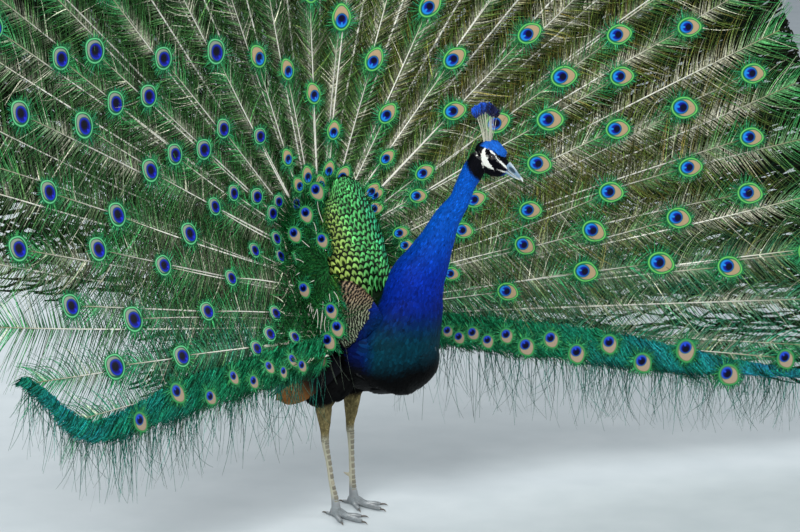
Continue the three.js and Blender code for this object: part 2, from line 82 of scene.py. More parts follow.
def tone(code):
    """A colour written as six hex digits, turned into linear light."""
    share = np.array([int(code[i:i + 2], 16) / 255 for i in (0, 2, 4)])
    return np.where(share <= 0.04045, share / 12.92, ((share + 0.055) / 1.055) ** 2.4)


def node(tree, kind, *values, **settings):
    """Adds a shader node. Values fill its first inputs in order, settings its
    properties or named inputs, and a socket given as a value is linked."""
    made = tree.nodes.new("ShaderNode" + kind)
    for name, value in [*enumerate(values), *settings.items()]:
        if isinstance(name, str):
            if hasattr(made, name):
                setattr(made, name, value)
                continue
            name = name.replace("_", " ")
        if isinstance(value, bpy.types.NodeSocket):
            tree.links.new(value, made.inputs[name])
        else:
            made.inputs[name].default_value = value
    return made


def socket(tree, kind, *values, take=0, **settings):
    """One output of a new node, the first unless `take` names another."""
    return node(tree, kind, *values, **settings).outputs[take]


def here(tree):
    """The place on the object's own axes, for textures."""
    return socket(tree, "TexCoord", take="Object")


def tint_of(tree):
    """The colour stored at each point of the mesh."""
    return socket(tree, "Attribute", attribute_name="Tint")


def blend(tree, kind, share, first, second):
    """Two colours blended by a share."""
    return socket(tree, "MixRGB", blend_type=kind, Fac=share, Color1=first, Color2=second)


def ramp(tree, share, *stops):
    """A share turned into colours, each stop a place and a colour."""
    made = node(tree, "ValToRGB", share)
    elements = made.color_ramp.elements
    for element, (place, colour) in zip(elements, (stops[0], stops[-1])):
        element.position, element.color = place, (*colour, 1)
    for place, colour in stops[1:-1]:
        elements.new(place).color = (*colour, 1)
    return made.outputs["Color"]


def material(name, **settings):
    """An empty node material with one Principled shader, set by socket names."""
    made = bpy.data.materials.new(name)
    made.use_nodes = True
    shader = made.node_tree.nodes["Principled BSDF"]
    for socket, value in settings.items():
        shader.inputs[socket.replace("_", " ")].default_value = value
    return made, made.node_tree, shader


def paint(tree, shader, colour, height=None, **relief):
    """Gives a material its colour and, if there is one, its relief."""
    tree.links.new(colour, shader.inputs["Base Color"])
    if height is not None:
        tree.links.new(socket(tree, "Bump", Height=height, **relief), shader.inputs["Normal"])


floor_mesh = bpy.data.meshes.new("floor")
floor_mesh.from_pydata(
    [(x * FLOOR_REACH, y * FLOOR_REACH, 0) for x, y in ((-1, -1), (1, -1), (1, 1), (-1, 1))],
    [], [(0, 1, 2, 3)])
floor = bpy.data.objects.new("floor", floor_mesh)
bpy.context.scene.collection.objects.link(floor)
floor_look, tree, shader = material("pale_floor", Roughness=0.85)
grit = socket(tree, "TexNoise", here(tree), Scale=9.0, Detail=6.0)
paint(tree, shader, ramp(tree, grit, (0, tone(FLOOR_DIM)), (1, tone(FLOOR_PALE))))
floor_mesh.materials.append(floor_look)

for name, (place, size, power) in LAMPS.items():
    lamp = bpy.data.objects.new(name, bpy.data.lights.new(name, "AREA"))
    lamp.data.size = size
    lamp.data.energy = power
    lamp.location = place
    lamp.rotation_mode = "QUATERNION"
    lamp.rotation_quaternion = (Vector(place) - SIGHT_AIM).to_track_quat("Z", "Y")
    bpy.context.scene.collection.objects.link(lamp)
room = bpy.data.worlds.new("room")
room.use_nodes = True
glow = room.node_tree.nodes["Background"]
glow.inputs["Color"].default_value = ROOM_COLOUR
glow.inputs["Strength"].default_value = ROOM_STRENGTH
bpy.context.scene.world = room
bpy.context.scene.view_settings.view_transform = "Standard"

# ---- The bird's own frame --------------------------------------------------
# Lengths on the body are millimetres from the place on the floor under the
# train's root. The body and the head have frames of their own, and each limb
# is a row of ovals.
BODY_TURN = math.radians(25)
HEAD_TURN = math.radians(47)
HEAD_DIP = math.radians(45)
HEAD_CENTRE = np.array([198.6, -340.3, 786.0])
EYE_PLACE = np.array([1.0, 17.4, 5.0])
EYE_RADIUS = 6.2
MM = 0.001
UP = np.array([0.0, 0.0, 1.0])


def turned(angle):
    """The turn about the upright axis by an angle, as a matrix."""
    return np.array([[math.cos(angle), -math.sin(angle), 0],
                     [math.sin(angle), math.cos(angle), 0], [0, 0, 1]])


def together(*measures):
    """Separate measures of places, set side by side in rows."""
    return np.stack(np.broadcast_arrays(*measures), -1).astype(float)


def at(forward, left, up):
    """A place given as forward, left and up of the standing bird."""
    return together(forward * math.sin(BODY_TURN) + left * math.cos(BODY_TURN),
                    -forward * math.cos(BODY_TURN) + left * math.sin(BODY_TURN), up)


def body_frame(points):
    """The forward, left and up measures of places: the reverse of at."""
    x, y, z = points[..., 0], points[..., 1], points[..., 2]
    return (x * math.sin(BODY_TURN) - y * math.cos(BODY_TURN),
            x * math.cos(BODY_TURN) + y * math.sin(BODY_TURN), z)


HEAD_AXES = turned(HEAD_TURN - math.pi / 2) @ np.array(
    [[math.cos(HEAD_DIP), 0, math.sin(HEAD_DIP)], [0, 1, 0],
     [-math.sin(HEAD_DIP), 0, math.cos(HEAD_DIP)]])
HEAD_LEFT = HEAD_AXES[:, 1]
LEFTWARD = at(0, 1, 0)


def in_head(x, y, z):
    """A place given in the head: x to the bill, y to its left, z up."""
    return together(x, y, z) @ HEAD_AXES.T + HEAD_CENTRE


def head_frame(points):
    """The head's own measures of places: the reverse of in_head."""
    local = (points - HEAD_CENTRE) @ HEAD_AXES
    return local[..., 0], local[..., 1], local[..., 2]


low, high = (np.array(corner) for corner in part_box("eye_left"))
STAND = (low + high) / 2 - in_head(*EYE_PLACE) * MM


def unit(vectors):
    """Vectors made one long."""
    return vectors / np.maximum(np.linalg.norm(vectors, axis=-1, keepdims=True), 1e-9)


def ease(value, start, end):
    """A smooth step from 0 to 1 while value runs from start to end."""
    t = np.clip((np.asarray(value, float) - start) / (end - start), 0, 1)
    return t * t * (3 - 2 * t)


def mix(first, *coats):
    """A colour or place with others laid over it in turn, each followed by
    its share for each row."""
    for second, share in zip(coats[::2], coats[1::2]):
        share = np.asarray(share)[..., None]
        first = first * (1 - share) + second * share
    return first


def spline(points, share):
    """A centripetal Catmull-Rom curve: a cubic between each two points whose
    slopes are weighed by the root of the distances to their neighbours."""
    points = np.asarray(points, float)
    path = np.vstack([2 * points[0] - points[1], points, 2 * points[-1] - points[-2]])
    scaled = np.clip(share, 0, 1) * (len(points) - 1)
    k = np.minimum(scaled.astype(int), len(points) - 2)
    w = (scaled - k)[:, None]
    p0, p1, p2, p3 = (path[k + i] for i in range(4))
    d0, d1, d2 = (np.maximum(np.sqrt(np.linalg.norm(b - a, axis=1)), 1e-4)[:, None]
                  for a, b in ((p0, p1), (p1, p2), (p2, p3)))
    s1 = ((p1 - p0) / d0 - (p2 - p0) / (d0 + d1) + (p2 - p1) / d1) * d1
    s2 = ((p2 - p1) / d1 - (p3 - p1) / (d1 + d2) + (p3 - p2) / d2) * d1
    return ((2 * w**3 - 3 * w**2 + 1) * p1 + (w**3 - 2 * w**2 + w) * s1
            + (3 * w**2 - 2 * w**3) * p2 + (w**3 - w**2) * s2)


# the step along a path that gives its heading, and the rings tried by holds
SHARE_STEP = 1e-3
PATH_SAMPLES = 60


class Limb:
    """Oval rings along a smooth path through stations of a centre, a half
    width along `across` and a half height."""

    def __init__(self, stations, across, depth):
        self.centres = np.array([station[0] for station in stations], float)
        self.radii = np.array([[*station[1:], 0] for station in stations], float)
        self.across = across
        self.depth = depth

    def ring(self, share):
        """The centre, the two half axes and the heading at shares of the path."""
        centre = spline(self.centres, share)
        heading = unit(spline(self.centres, np.minimum(share + SHARE_STEP, 1))
                       - spline(self.centres, np.maximum(share - SHARE_STEP, 0)))
        side = unit(self.across - heading * (heading @ self.across)[:, None])
        size = np.maximum(spline(self.radii, share), 0.3)
        return centre, side, np.cross(heading, side), heading, size

    def skin(self, share, turn, grow):
        """The point at a share of the path and a turn round it, set out by grow."""
        centre, side, rise, _, size = self.ring(share)
        wide = np.maximum(size[:, :1] + grow, 0.2) * np.cos(turn)[:, None]
        tall = np.maximum(size[:, 1:2] + grow, 0.2) * np.sin(turn)[:, None]
        return centre + side * wide + rise * tall

    def holds(self, points, grow):
        """Whether points lie inside the limb, by the nearest ring of the path."""
        centre, side, rise, heading, size = self.ring(np.linspace(0, 1, PATH_SAMPLES))
        near = np.argmin(((points[:, None] - centre[None]) ** 2).sum(-1), axis=1)
        off = points - centre[near]
        wide = (off * side[near]).sum(-1) / np.maximum(size[near, 0] + grow, 0.5)
        tall = (off * rise[near]).sum(-1) / np.maximum(size[near, 1] + grow, 0.5)
        past = np.abs((off * heading[near]).sum(-1)) > 8 + abs(grow)
        return (wide**2 + tall**2 < 1) & ~past

    def shell(self, rings, sides):
        """The closed skin under the coat, as a grid with shut ends."""
        share = np.repeat(np.concatenate([[0], np.linspace(0, 1, rings), [1]]), sides)
        turn = np.tile(np.arange(sides) / sides * 2 * math.pi, rings + 2)
        grid = self.skin(share, turn, -self.depth).reshape(rings + 2, sides, 3)
        grid[0] = grid[1].mean(axis=0)
        grid[-1] = grid[-2].mean(axis=0)
        return grid


def body_limb(stations, depth):
    """A limb of the body, its stations as forward, left, up and two radii."""
    return Limb([(at(*s[:3]), s[3], s[4]) for s in stations], LEFTWARD, depth)


def head_limb(stations, depth):
    """A limb of the head, its stations as x, z and two radii."""
    return Limb([(in_head(s[0], 0, s[1]), s[2], s[3]) for s in stations], HEAD_LEFT, depth)


# ---- Skin ------------------------------------------------------------------
# One closed skin runs from the head to the toes under the coat, by whose depth
# it lies inside the body's outer form. It is bare on the face and the legs.
SKULL = [(-37, 4, 5, 6), (-32, 3, 13, 16), (-24, 2, 18, 25), (-8, 2, 22, 32), (9, 0, 21.5, 33),
         (21, 0, 17, 29), (30, 2.5, 13, 23), (37, 6, 9.5, 17), (42, 9, 7.5, 11.5)]
NECK = [(374, 28, 784, 19, 24), (358, 23, 757, 20, 25), (343, 18, 727, 19.5, 23),
        (331, 14, 695, 21, 23.5), (303, 10, 652, 27, 30), (282, 7, 607, 34, 38),
        (259, 4, 560, 45, 50), (240, 1, 523, 55, 60), (227, 0, 482, 60, 66),
        (214, 0, 438, 66, 70), (182, 0, 392, 60, 60)]
TRUNK = [(-112, 0, 505, 8, 10), (-92, 0, 497, 34, 36), (-55, 0, 470, 60, 66),
         (0, 0, 428, 80, 92), (60, 0, 398, 91, 104), (120, 0, 378, 95, 108),
         (180, 0, 368, 91, 103), (232, 0, 367, 74, 85), (268, 0, 373, 42, 52),
         (284, 0, 377, 8, 10)]
BREAST = [(236, 0, 512, 55, 60), (226, 0, 470, 66, 71), (210, 0, 428, 79, 83),
          (192, 0, 390, 90, 95), (172, 0, 354, 93, 99), (150, 0, 330, 84, 84)]
BACK = [(112, 0, 430, 70, 52), (88, 9, 500, 91, 62), (70, 18, 560, 102, 54),
        (58, 21, 620, 99, 38), (50, 19, 670, 80, 24), (46, 14, 704, 38, 10)]
WING = [(196, 70, 442, 5, 12), (170, 83, 448, 13, 44), (126, 92, 452, 17, 67),
        (66, 93, 438, 17, 66), (8, 86, 410, 13, 48), (-52, 78, 376, 5, 12)]
DOWN = [(-52, 0, 400, 46, 34), (-84, 0, 440, 62, 46), (-108, 0, 490, 58, 40),
        (-118, 0, 540, 34, 24), (-120, 0, 566, 8, 8)]
# side, hock, ankle, how far the toes turn inwards in degrees, and the knee's lead
LEGS = {"right": (-1, (50, -62), (71, -59), 14, -7), "left": (1, (50, 42), (53, 45), 12, 6)}
# turn from the middle toe, reach and thickness
TOES = {"middle": (0, 82, 8), "inner": (34, 58, 7), "outer": (-32, 62, 7), "rear": (176, 27, 5.5)}
TOE_HEIGHT = 0.72
CLAW = 15


def mirrored(stations, side):
    """The same stations on the bird's left (1) or right (-1)."""
    return [(s[0], side * s[1], *s[2:]) for s in stations]


def toe_line(leg, toe):
    """Where a toe runs: the place a reach out along the floor and a height up."""
    side, _, ankle, inwards, _ = LEGS[leg]
    heading = math.radians(-inwards - side * TOES[toe][0])
    return lambda reach, up: at(ankle[0] + reach * math.cos(heading),
                                ankle[1] + reach * math.sin(heading), up)


def leg_limbs(leg):
    """The thigh, the shank, the bare leg with its spur, the pad and the toes."""
    side, hock, ankle, _, knee = LEGS[leg]
    (f, l), (g, m) = hock, ankle
    out = l + side * 6
    limbs = {
        "thigh": body_limb([(92, side * 52, 352, 30, 46), (66, side * 60, 312, 33, 56),
                            (f - 4, out, 276, 27, 50), (f - 8, out, 250, 17, 36),
                            (f - 8, out, 238, 5, 12)], 5),
        "shank": body_limb([(f + knee, l, 286, 17, 26), (f + 0.7 * knee, l, 246, 15.5, 21),
                            (f + 0.3 * knee, l, 208, 12, 15), (f - 1, l, 180, 8, 10.5),
                            (f - 1, l, 156, 7.5, 9.5)], 1.5),
        "tarsus": body_limb([(f - 1, l, 172, 7.5, 9.5), (f, l, 155, 6.5, 8.5),
                             ((2 * f + g) / 3, (2 * l + m) / 3, 118, 5.2, 6.8),
                             ((f + 2 * g) / 3, (l + 2 * m) / 3, 72, 5.2, 6.8),
                             (g, m, 38, 7, 8.5), (g + 1, m, 12, 8, 9.5)], 0.4),
        "spur": body_limb([(g - 6, m - side * 1.5, 65, 3.6, 3.8),
                           (g - 13, m - side * 5, 68, 3, 3.2),
                           (g - 19, m - side * 8, 72, 1, 1.1)], 0),
        "pad": body_limb([(g + 2, m, 33, 8, 9.5), (g + 3, m, 18, 9, 11),
                          (g + 3, m, 8, 10, 12.5), (g + 3, m, 2.5, 9, 11)], 0.3),
    }
    for toe, (_, reach, thick) in TOES.items():
        place = toe_line(leg, toe)
        rest = thick * TOE_HEIGHT
        across = unit(np.cross(UP, place(1, 0) - place(0, 0)))
        limbs[toe] = Limb([
            (place(-2, 17), thick, thick), (place(reach * 0.16, 12), thick, 8),
            (place(reach * 0.45, rest), thick * 0.8, thick * 0.8),
            (place(reach * 0.8, rest * 0.85), thick * 0.72, thick * 0.72),
            (place(reach, rest * 0.7), thick * 0.45, thick * 0.5)], across, 0.3)
    return limbs


skull = head_limb(SKULL, 1.2)
neck = body_limb(NECK, 2.5)
trunk = body_limb(TRUNK, 6)
back = body_limb(BACK, 6)
breast = body_limb(BREAST, 5)
wings = {leg: body_limb(mirrored(WING, LEGS[leg][0]), 4) for leg in LEGS}
down = body_limb(DOWN, 8)
legs = {leg: leg_limbs(leg) for leg in LEGS}

# Strokes on the face, as x, z and half width along each of them
CHEEK = [(-22, 10, 1.6), (-18, 2, 5.4), (-10, -6.5, 7.4), (1, -11.5, 7.6), (12, -12.4, 5.8),
         (21, -11.2, 2.8), (27, -10.2, 0.4)]
BROW = [(-18.5, 10, 0.9), (-8, 12.4, 2.0), (1, 12.6, 2.6), (15, 9.6, 2.8), (36, 9.4, 2.3),
        (50, 12, 1.6)]
STREAK = [(-15, -4, 2.2), (-20, -9, 1.8), (-24, -17, 0.9)]
GAPE = [(28, -5.6, 0.8), (38, -1, 1.8), (48, 4, 1.5)]
CROWN_EDGE = [(-30, 2), (-21, 9.5), (-5, 15.6), (11, 17.6), (21, 22.5), (32, 27.0), (44, 34)]
INK = tone("06070f")
CROWN_BLUE = tone("2270dc")
BARE_WHITE = tone("f2f1e8")
COBALT = tone("0a5ccc")
ROYAL = tone("062ea6")
DEEP_BLUE = tone("051c6c")
TEAL = tone("033a3c")
BELLY_BLACK = tone("020304")
BACK_GREEN = tone("0f2c12")
THIGH_BUFF = tone("8f8258")
LEG_CREAM = tone("adab95")
LEG_GREY = tone("848a8c")
DOWN_GREY = tone("7a6f60")


def along_stroke(x, z, stroke):
    """How far inside a brush stroke a point lies: its half width there less
    the distance to the nearest length of it."""
    inside = np.full(x.shape, -1e3)
    for (x0, z0, w0), (x1, z1, w1) in zip(stroke, stroke[1:]):
        share = np.clip(((x - x0) * (x1 - x0) + (z - z0) * (z1 - z0))
                        / ((x1 - x0) ** 2 + (z1 - z0) ** 2), 0, 1)
        apart = np.hypot(x - x0 - share * (x1 - x0), z - z0 - share * (z1 - z0))
        inside = np.maximum(inside, w0 + share * (w1 - w0) - apart)
    return inside


def face_bare(points):
    """How bare and white the face is at places: 1 on the patches and stripes."""
    x, y, z = head_frame(points)
    bare = np.zeros(x.shape)
    for stroke in (CHEEK, BROW, STREAK, GAPE):
        bare = np.maximum(bare, ease(along_stroke(x, z, stroke), -0.5, 0.5))
    return bare * (np.abs(y) > 4) * (np.abs(y) < 30) * (z > -30)


def breast_edge(up):
    """How far forward the blue of the breast begins on the flank."""
    return 143 + 0.66 * np.clip(up - 393, 0, 58)


def shows_bars(points):
    """Where a wing is barred: behind the breast's edge and above the belly."""
    forward, _, up = body_frame(points)
    return (forward < breast_edge(up)) & (up > 390)


def markings(points):
    """The plumage's colour at places, worked out from where they lie on the bird: face, crown,
    neck, breast, belly, back, thigh and bare leg, with painted shade over the rear of the breast by
    the wing."""
    forward, left, up = body_frame(points)
    x, y, z = head_frame(points)
    flank = ease(forward - breast_edge(up), 6, -10) * ease(up, 250, 300)
    ink = ease(np.sqrt(x**2 + y**2 + (z * 0.95 + 3) ** 2), 49, 41)
    ink = np.maximum(ink, ease(np.abs(x + 24) + np.abs(z) * 0.5, 20, 11))
    crown_line = np.interp(x, *np.array(CROWN_EDGE).T)
    return mix(
        COBALT,
        ROYAL, ease(up, 690, 520),
        DEEP_BLUE, ease(up, 540, 430),
        TEAL, ease(up, 485, 400) * ease(forward, 150, 200) * 0.85,
        BELLY_BLACK, ease(up + 0.2 * np.abs(left), 396, 340),
        # painted shade: the rear of the breast and the bend of the wing are darkened towards black
        BELLY_BLACK, 0.45 * ease(forward, 178, 140) * ease(up, 540, 480),
        BELLY_BLACK, flank,
        BACK_GREEN, flank * ease(up, 440, 490),
        DOWN_GREY, ease(forward, -30, -70) * ease(up, 360, 420),
        THIGH_BUFF, ease(up, 262, 244),
        LEG_CREAM, ease(up, 186, 168),
        LEG_GREY, ease(up, 56, 30),
        INK, ink * (up > 700),
        CROWN_BLUE, ease(z - crown_line, -1.0, 1.2) * ease(x, -34, -26) * (up > 760),
        BARE_WHITE, face_bare(points))


def quads_of(rows, columns, closed=False):
    """The faces of a grid of rows and columns, its columns shut if closed."""
    index = np.arange(rows * columns).reshape(rows, columns)
    if closed:
        index = np.hstack([index, index[:, :1]])
    return np.stack([index[:-1, :-1], index[:-1, 1:], index[1:, 1:], index[1:, :-1]],
                    -1).reshape(-1, 4)


def mesh_from(name, points, quads):
    """A mesh of points, in metres in the model's frame, and four-sided faces."""
    mesh = bpy.data.meshes.new(name)
    mesh.vertices.add(len(points))
    mesh.vertices.foreach_set("co", np.ascontiguousarray(points, np.float32).ravel())
    mesh.loops.add(quads.size)
    mesh.loops.foreach_set("vertex_index", np.ascontiguousarray(quads, np.int32).ravel())
    mesh.polygons.add(len(quads))
    mesh.polygons.foreach_set("loop_start", np.arange(0, quads.size, 4, dtype=np.int32))
    mesh.polygons.foreach_set("use_smooth", np.ones(len(quads), bool))
    mesh.update(calc_edges=True)
    return mesh


def colour_points(mesh, tint):
    """Stores one colour for each point of a mesh, as its attribute Tint."""
    layer = mesh.color_attributes.new("Tint", "FLOAT_COLOR", "POINT")
    rgba = np.ones((len(mesh.vertices), 4), np.float32)
    rgba[:, :3] = tint
    layer.data.foreach_set("color", rgba.ravel())


def points_of(mesh):
    """All points of a mesh as rows of x, y and z."""
    flat = np.empty(len(mesh.vertices) * 3, np.float32)
    mesh.vertices.foreach_get("co", flat)
    return flat.reshape(-1, 3).astype(float)


def new_piece(name, mesh, look):
    """A piece at the origin that shows a mesh in one material."""
    made = bpy.data.objects.new(name, mesh)
    mesh.materials.append(look)
    bpy.context.scene.collection.objects.link(made)
    return made


def applied(piece):
    """Makes the piece's modifiers part of its mesh."""
    seen = piece.evaluated_get(bpy.context.evaluated_depsgraph_get())
    mesh = bpy.data.meshes.new_from_object(seen)
    piece.modifiers.clear()
    piece.data = mesh
    return mesh


SKIN_VOXEL = 0.0022
SKIN_RINGS, SKIN_SIDES = 36, 28
# the part round the head's centre whose mesh is made finer, in metres
HEAD_REACH = 0.05
shells = [skull, neck, trunk, back, down, *wings.values()]
shells += [limb for leg in legs.values() for limb in leg.values()]
points, quads, count = [], [], 0
for limb in shells:
    grid = limb.shell(SKIN_RINGS, SKIN_SIDES)
    points.append(grid.reshape(-1, 3))
    quads.append(quads_of(*grid.shape[:2], closed=True) + count)
    count += len(points[-1])
points = np.vstack(points)
points[:, 2] = np.maximum(points[:, 2], 0.0)

skin_look, tree, shader = material("skin", Roughness=0.6, Subsurface_Weight=0.04)
pore = socket(tree, "TexVoronoi", here(tree), Scale=900.0)
mottle = socket(tree, "TexNoise", here(tree), Scale=70.0, Detail=4.0)
paint(tree, shader, blend(tree, "OVERLAY", 0.25, tint_of(tree), mottle), pore, Strength=0.35,
      Distance=0.0006)

skin = new_piece("skin", mesh_from("skin", STAND + points * MM, np.vstack(quads)), skin_look)
remesh = skin.modifiers.new("one_skin", "REMESH")
remesh.mode = "VOXEL"
remesh.voxel_size = SKIN_VOXEL
remesh.use_smooth_shade = True
relax = skin.modifiers.new("relax", "SMOOTH")
relax.iterations = 5
mesh = applied(skin)
work = bmesh.new()
work.from_mesh(mesh)
centre = Vector(STAND + HEAD_CENTRE * MM)
fine = [edge for edge in work.edges if (edge.verts[0].co - centre).length < HEAD_REACH]
bmesh.ops.subdivide_edges(work, edges=fine, cuts=1, use_grid_fill=True, smooth=0.4)
work.to_mesh(mesh)
work.free()
mesh.polygons.foreach_set("use_smooth", np.ones(len(mesh.polygons), bool))
flat = points_of(mesh)
flat[:, 2] = np.maximum(flat[:, 2], 0.0)
mesh.vertices.foreach_set("co", flat.astype(np.float32).ravel())
colour_points(mesh, markings((points_of(mesh) - STAND) / MM))
mesh.update()
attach(skin, "root")
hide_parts("head", "neck_upper", "neck_lower", "trunk", "back", "under_tail",
            *[f"{part}_{leg}" for part in ("wing", "thigh", "shank", "tarsus", "foot")
              for leg in LEGS])

# ---- Bill ------------------------------------------------------------------
# A short bill of blue-grey horn in two parts that meet along the gape. The upper one has a ridge, a
# nostril on each side painted dark as the shade in its opening, and a pale hooked tip.
UPPER_BILL = [(34, 13, 8, 9), (46, 13, 7.2, 8), (58, 12.8, 5.6, 6), (68, 13.2, 3.8, 4),
              (76, 13.3, 2.2, 2.4), (82, 11.8, 0.7, 0.9)]
LOWER_BILL = [(35, 1.2, 7, 3.2), (46, 1.5, 6.2, 2.9), (58, 4.1, 4.6, 2.2), (68, 7.3, 2.6, 1.4),
              (74, 9.6, 0.8, 0.7)]
HORN_BLUE = tone("6f8da4")
HORN_DARK = tone("1c3644")
HORN_PALE = tone("e3e8e4")
bill_look, tree, shader = material("bill_horn", Roughness=0.34, Coat_Weight=0.25)
grain = socket(tree, "TexNoise", here(tree), Scale=260.0, Detail=4.0)
paint(tree, shader, blend(tree, "OVERLAY", 0.3, tint_of(tree), grain), grain, Strength=0.25,
      Distance=0.0003)


def horn_piece(name, grid, colour, look):
    """Closed tubes of horn: grid[n, ring, side] with shut ends, one colour
    for each point."""
    n, rings, sides = grid.shape[:3]
    quads = (quads_of(rings, sides, closed=True)[None]
             + (np.arange(n) * rings * sides)[:, None, None]).reshape(-1, 4)
    mesh = mesh_from(name, STAND + grid.reshape(-1, 3) * MM, quads)
    colour_points(mesh, colour.reshape(-1, 3))
    piece = new_piece(name, mesh, look)
    closing = piece.modifiers.new("close", "WELD")
    closing.merge_threshold = 1e-6
    applied(piece)
    piece.data.polygons.foreach_set("use_smooth", np.ones(len(piece.data.polygons), bool))
    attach(piece, "root")
    return piece


upper = head_limb(UPPER_BILL, 0).shell(44, 40)
x, y, z = head_frame(upper)
ridge = ease(z, 14, 21)
sunk = ease(np.hypot((x - 49) / 7.0, (z - 14.0) / 2.2), 1.1, 0.4)
upper = in_head(x, y * (1 - 0.28 * ridge) * (1 - 0.16 * sunk), z)
# painted shade: the nostril's opening is painted dark
nostril_shade = ease(np.hypot((x - 49) / 9.5, (z - 14.0) / 3.6), 1.15, 0.75)
edging = 0.45 * ease(ridge, 0.5, 0.9) + 0.75 * ease(z - 0.12 * (x - 40), 9, 6.5)
colour = mix(HORN_BLUE, HORN_DARK, nostril_shade, HORN_PALE, np.minimum(edging, 1),
             HORN_PALE, ease(x, 68, 79))
bill_upper = horn_piece("bill_upper", upper[None], colour, bill_look)
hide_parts("bill_upper")
lower = head_limb(LOWER_BILL, 0).shell(36, 32)
x, _, z = head_frame(lower)
edging = np.maximum(ease(x, 60, 72), 0.6 * ease(z - 0.13 * (x - 40), 1, 4))
colour = mix(HORN_BLUE, HORN_PALE, edging)
bill_lower = horn_piece("bill_lower", lower[None], colour, bill_look)
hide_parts("bill_lower")

# ---- Eyes ------------------------------------------------------------------
# Glossy dark brown eyeballs, set in the bare black skin of the face behind
# folded lids.
IRIS_BROWN = tone("3c2414")
LID_GREY = tone("23242c")
eye_glass, tree, shader = material("eyeball", Roughness=0.08, Coat_Weight=1.0)
shader.inputs["Coat Roughness"].default_value = 0.03
paint(tree, shader, tint_of(tree))
lid_look, tree, shader = material("eyelid", Roughness=0.5)
paint(tree, shader, tint_of(tree))
fall, turn = np.meshgrid(np.linspace(0, math.pi, 26), np.arange(36) / 36 * 2 * math.pi,
                         indexing="ij")
radius = EYE_RADIUS * (1 + 0.05 * ease(fall, 0.7, 0.1))
balls = [in_head(EYE_PLACE[0] + radius * np.sin(fall) * np.cos(turn) * side,
                 side * (EYE_PLACE[1] + radius * np.cos(fall)),
                 EYE_PLACE[2] - radius * np.sin(fall) * np.sin(turn)) for side in (1, -1)]
colour = mix(INK, IRIS_BROWN, ease(fall, 0.36, 0.44) * ease(fall, 0.86, 0.78))
eyeballs = horn_piece("eyeballs", np.array(balls), np.array([colour, colour]), eye_glass)
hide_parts("eye_left", "eye_right")

fold, turn = np.meshgrid(np.linspace(0, 1, 11), np.linspace(0, 2 * math.pi, 49), indexing="ij")
wide = 4.7 + 3.3 * fold
tall = 3.7 + 3.3 * fold
opening = np.hypot(wide * np.cos(turn), tall * np.sin(turn))
over_ball = np.sqrt(np.maximum((EYE_RADIUS + 0.45) ** 2 - opening**2, 0))
on_skin = ease(fold, 0.25, 1)
out = over_ball * (1 - on_skin) + 2.6 * on_skin + 0.55 * np.sin(math.pi * fold)
out = out + 0.22 * np.sin(5 * math.pi * fold) * ease(fold, 0.2, 0.5)
LID_GRID = np.array([in_head(EYE_PLACE[0] + wide * np.cos(turn), side * (EYE_PLACE[1] + out),
                             EYE_PLACE[2] + tall * np.sin(turn) * side) for side in (1, -1)])
LID_TINT = np.broadcast_to(mix(LID_GREY, INK, ease(fold, 0, 0.4)), LID_GRID.shape)

# ---- Feathers of the head, neck and breast ---------------------------------
# Small rounded feathers lie over the skin in staggered rows, smallest on the
# head, each one a thin vane that lifts a little at its tip. Every mark on them
# is the skin's own at their roots.
UNWRAP_PATCH = 0.003
# how far under another limb's skin a root may lie before it is left out
COVER_ROOM = 1.5
EYE_ROOM = 2.0


class Roots:
    """Places in the skin where feathers grow: staggered rows round a limb,
    without those that other limbs cover. `span` keeps a stretch of the limb,
    and `cell` is the column of OFBake that they fill, of how many."""

    def __init__(self, limb, rows, columns, cell=(0, 1), covers=(), span=(0, 1), jitter=0.5):
        share, turn = np.meshgrid(np.arange(rows) + 0.5, np.arange(columns) + 0.25, indexing="ij")
        turn = turn + 0.5 * (np.arange(rows) % 2)[:, None]
        share = share + chance.uniform(-jitter, jitter, share.shape) * 0.5
        turn = turn + chance.uniform(-jitter, jitter, share.shape) * 0.5
        share = (span[0] + (span[1] - span[0]) * share / rows).ravel().clip(0.002, 0.998)
        turn = (turn / columns * 2 * math.pi).ravel()
        self.place, below, above, onward, behind = (
            limb.skin(share + a * SHARE_STEP, turn + b * SHARE_STEP, -limb.depth)
            for a, b in ((0, 0), (1, 0), (-1, 0), (0, 1), (0, -1)))
        down_path, round_path = below - above, onward - behind
        self.along = unit(down_path)
        self.out = unit(np.cross(round_path, down_path))
        self.tall = (np.linalg.norm(down_path, axis=1) / (2 * SHARE_STEP)
                     * (span[1] - span[0]) / rows)
        self.wide = (np.linalg.norm(round_path, axis=1) / (2 * SHARE_STEP)
                     * 2 * math.pi / columns)
        self.unwrap = np.stack([(cell[0] + turn / (2 * math.pi) % 1) / cell[1], share], -1)
        clear = np.ones(len(self.place), bool)
        for cover in covers:
            clear &= ~cover.holds(self.place, -cover.depth - COVER_ROOM)
        self.keep(clear)

    def keep(self, chosen):
        """Leaves only the chosen roots."""
        for name, value in vars(self).items():
            setattr(self, name, value[chosen])

    def __len__(self):
        return len(self.place)


def joined(groups):
    """Several groups of roots as one."""
    whole = groups[0]
    for name in vars(whole):
        setattr(whole, name, np.concatenate([getattr(group, name) for group in groups]))
    return whole


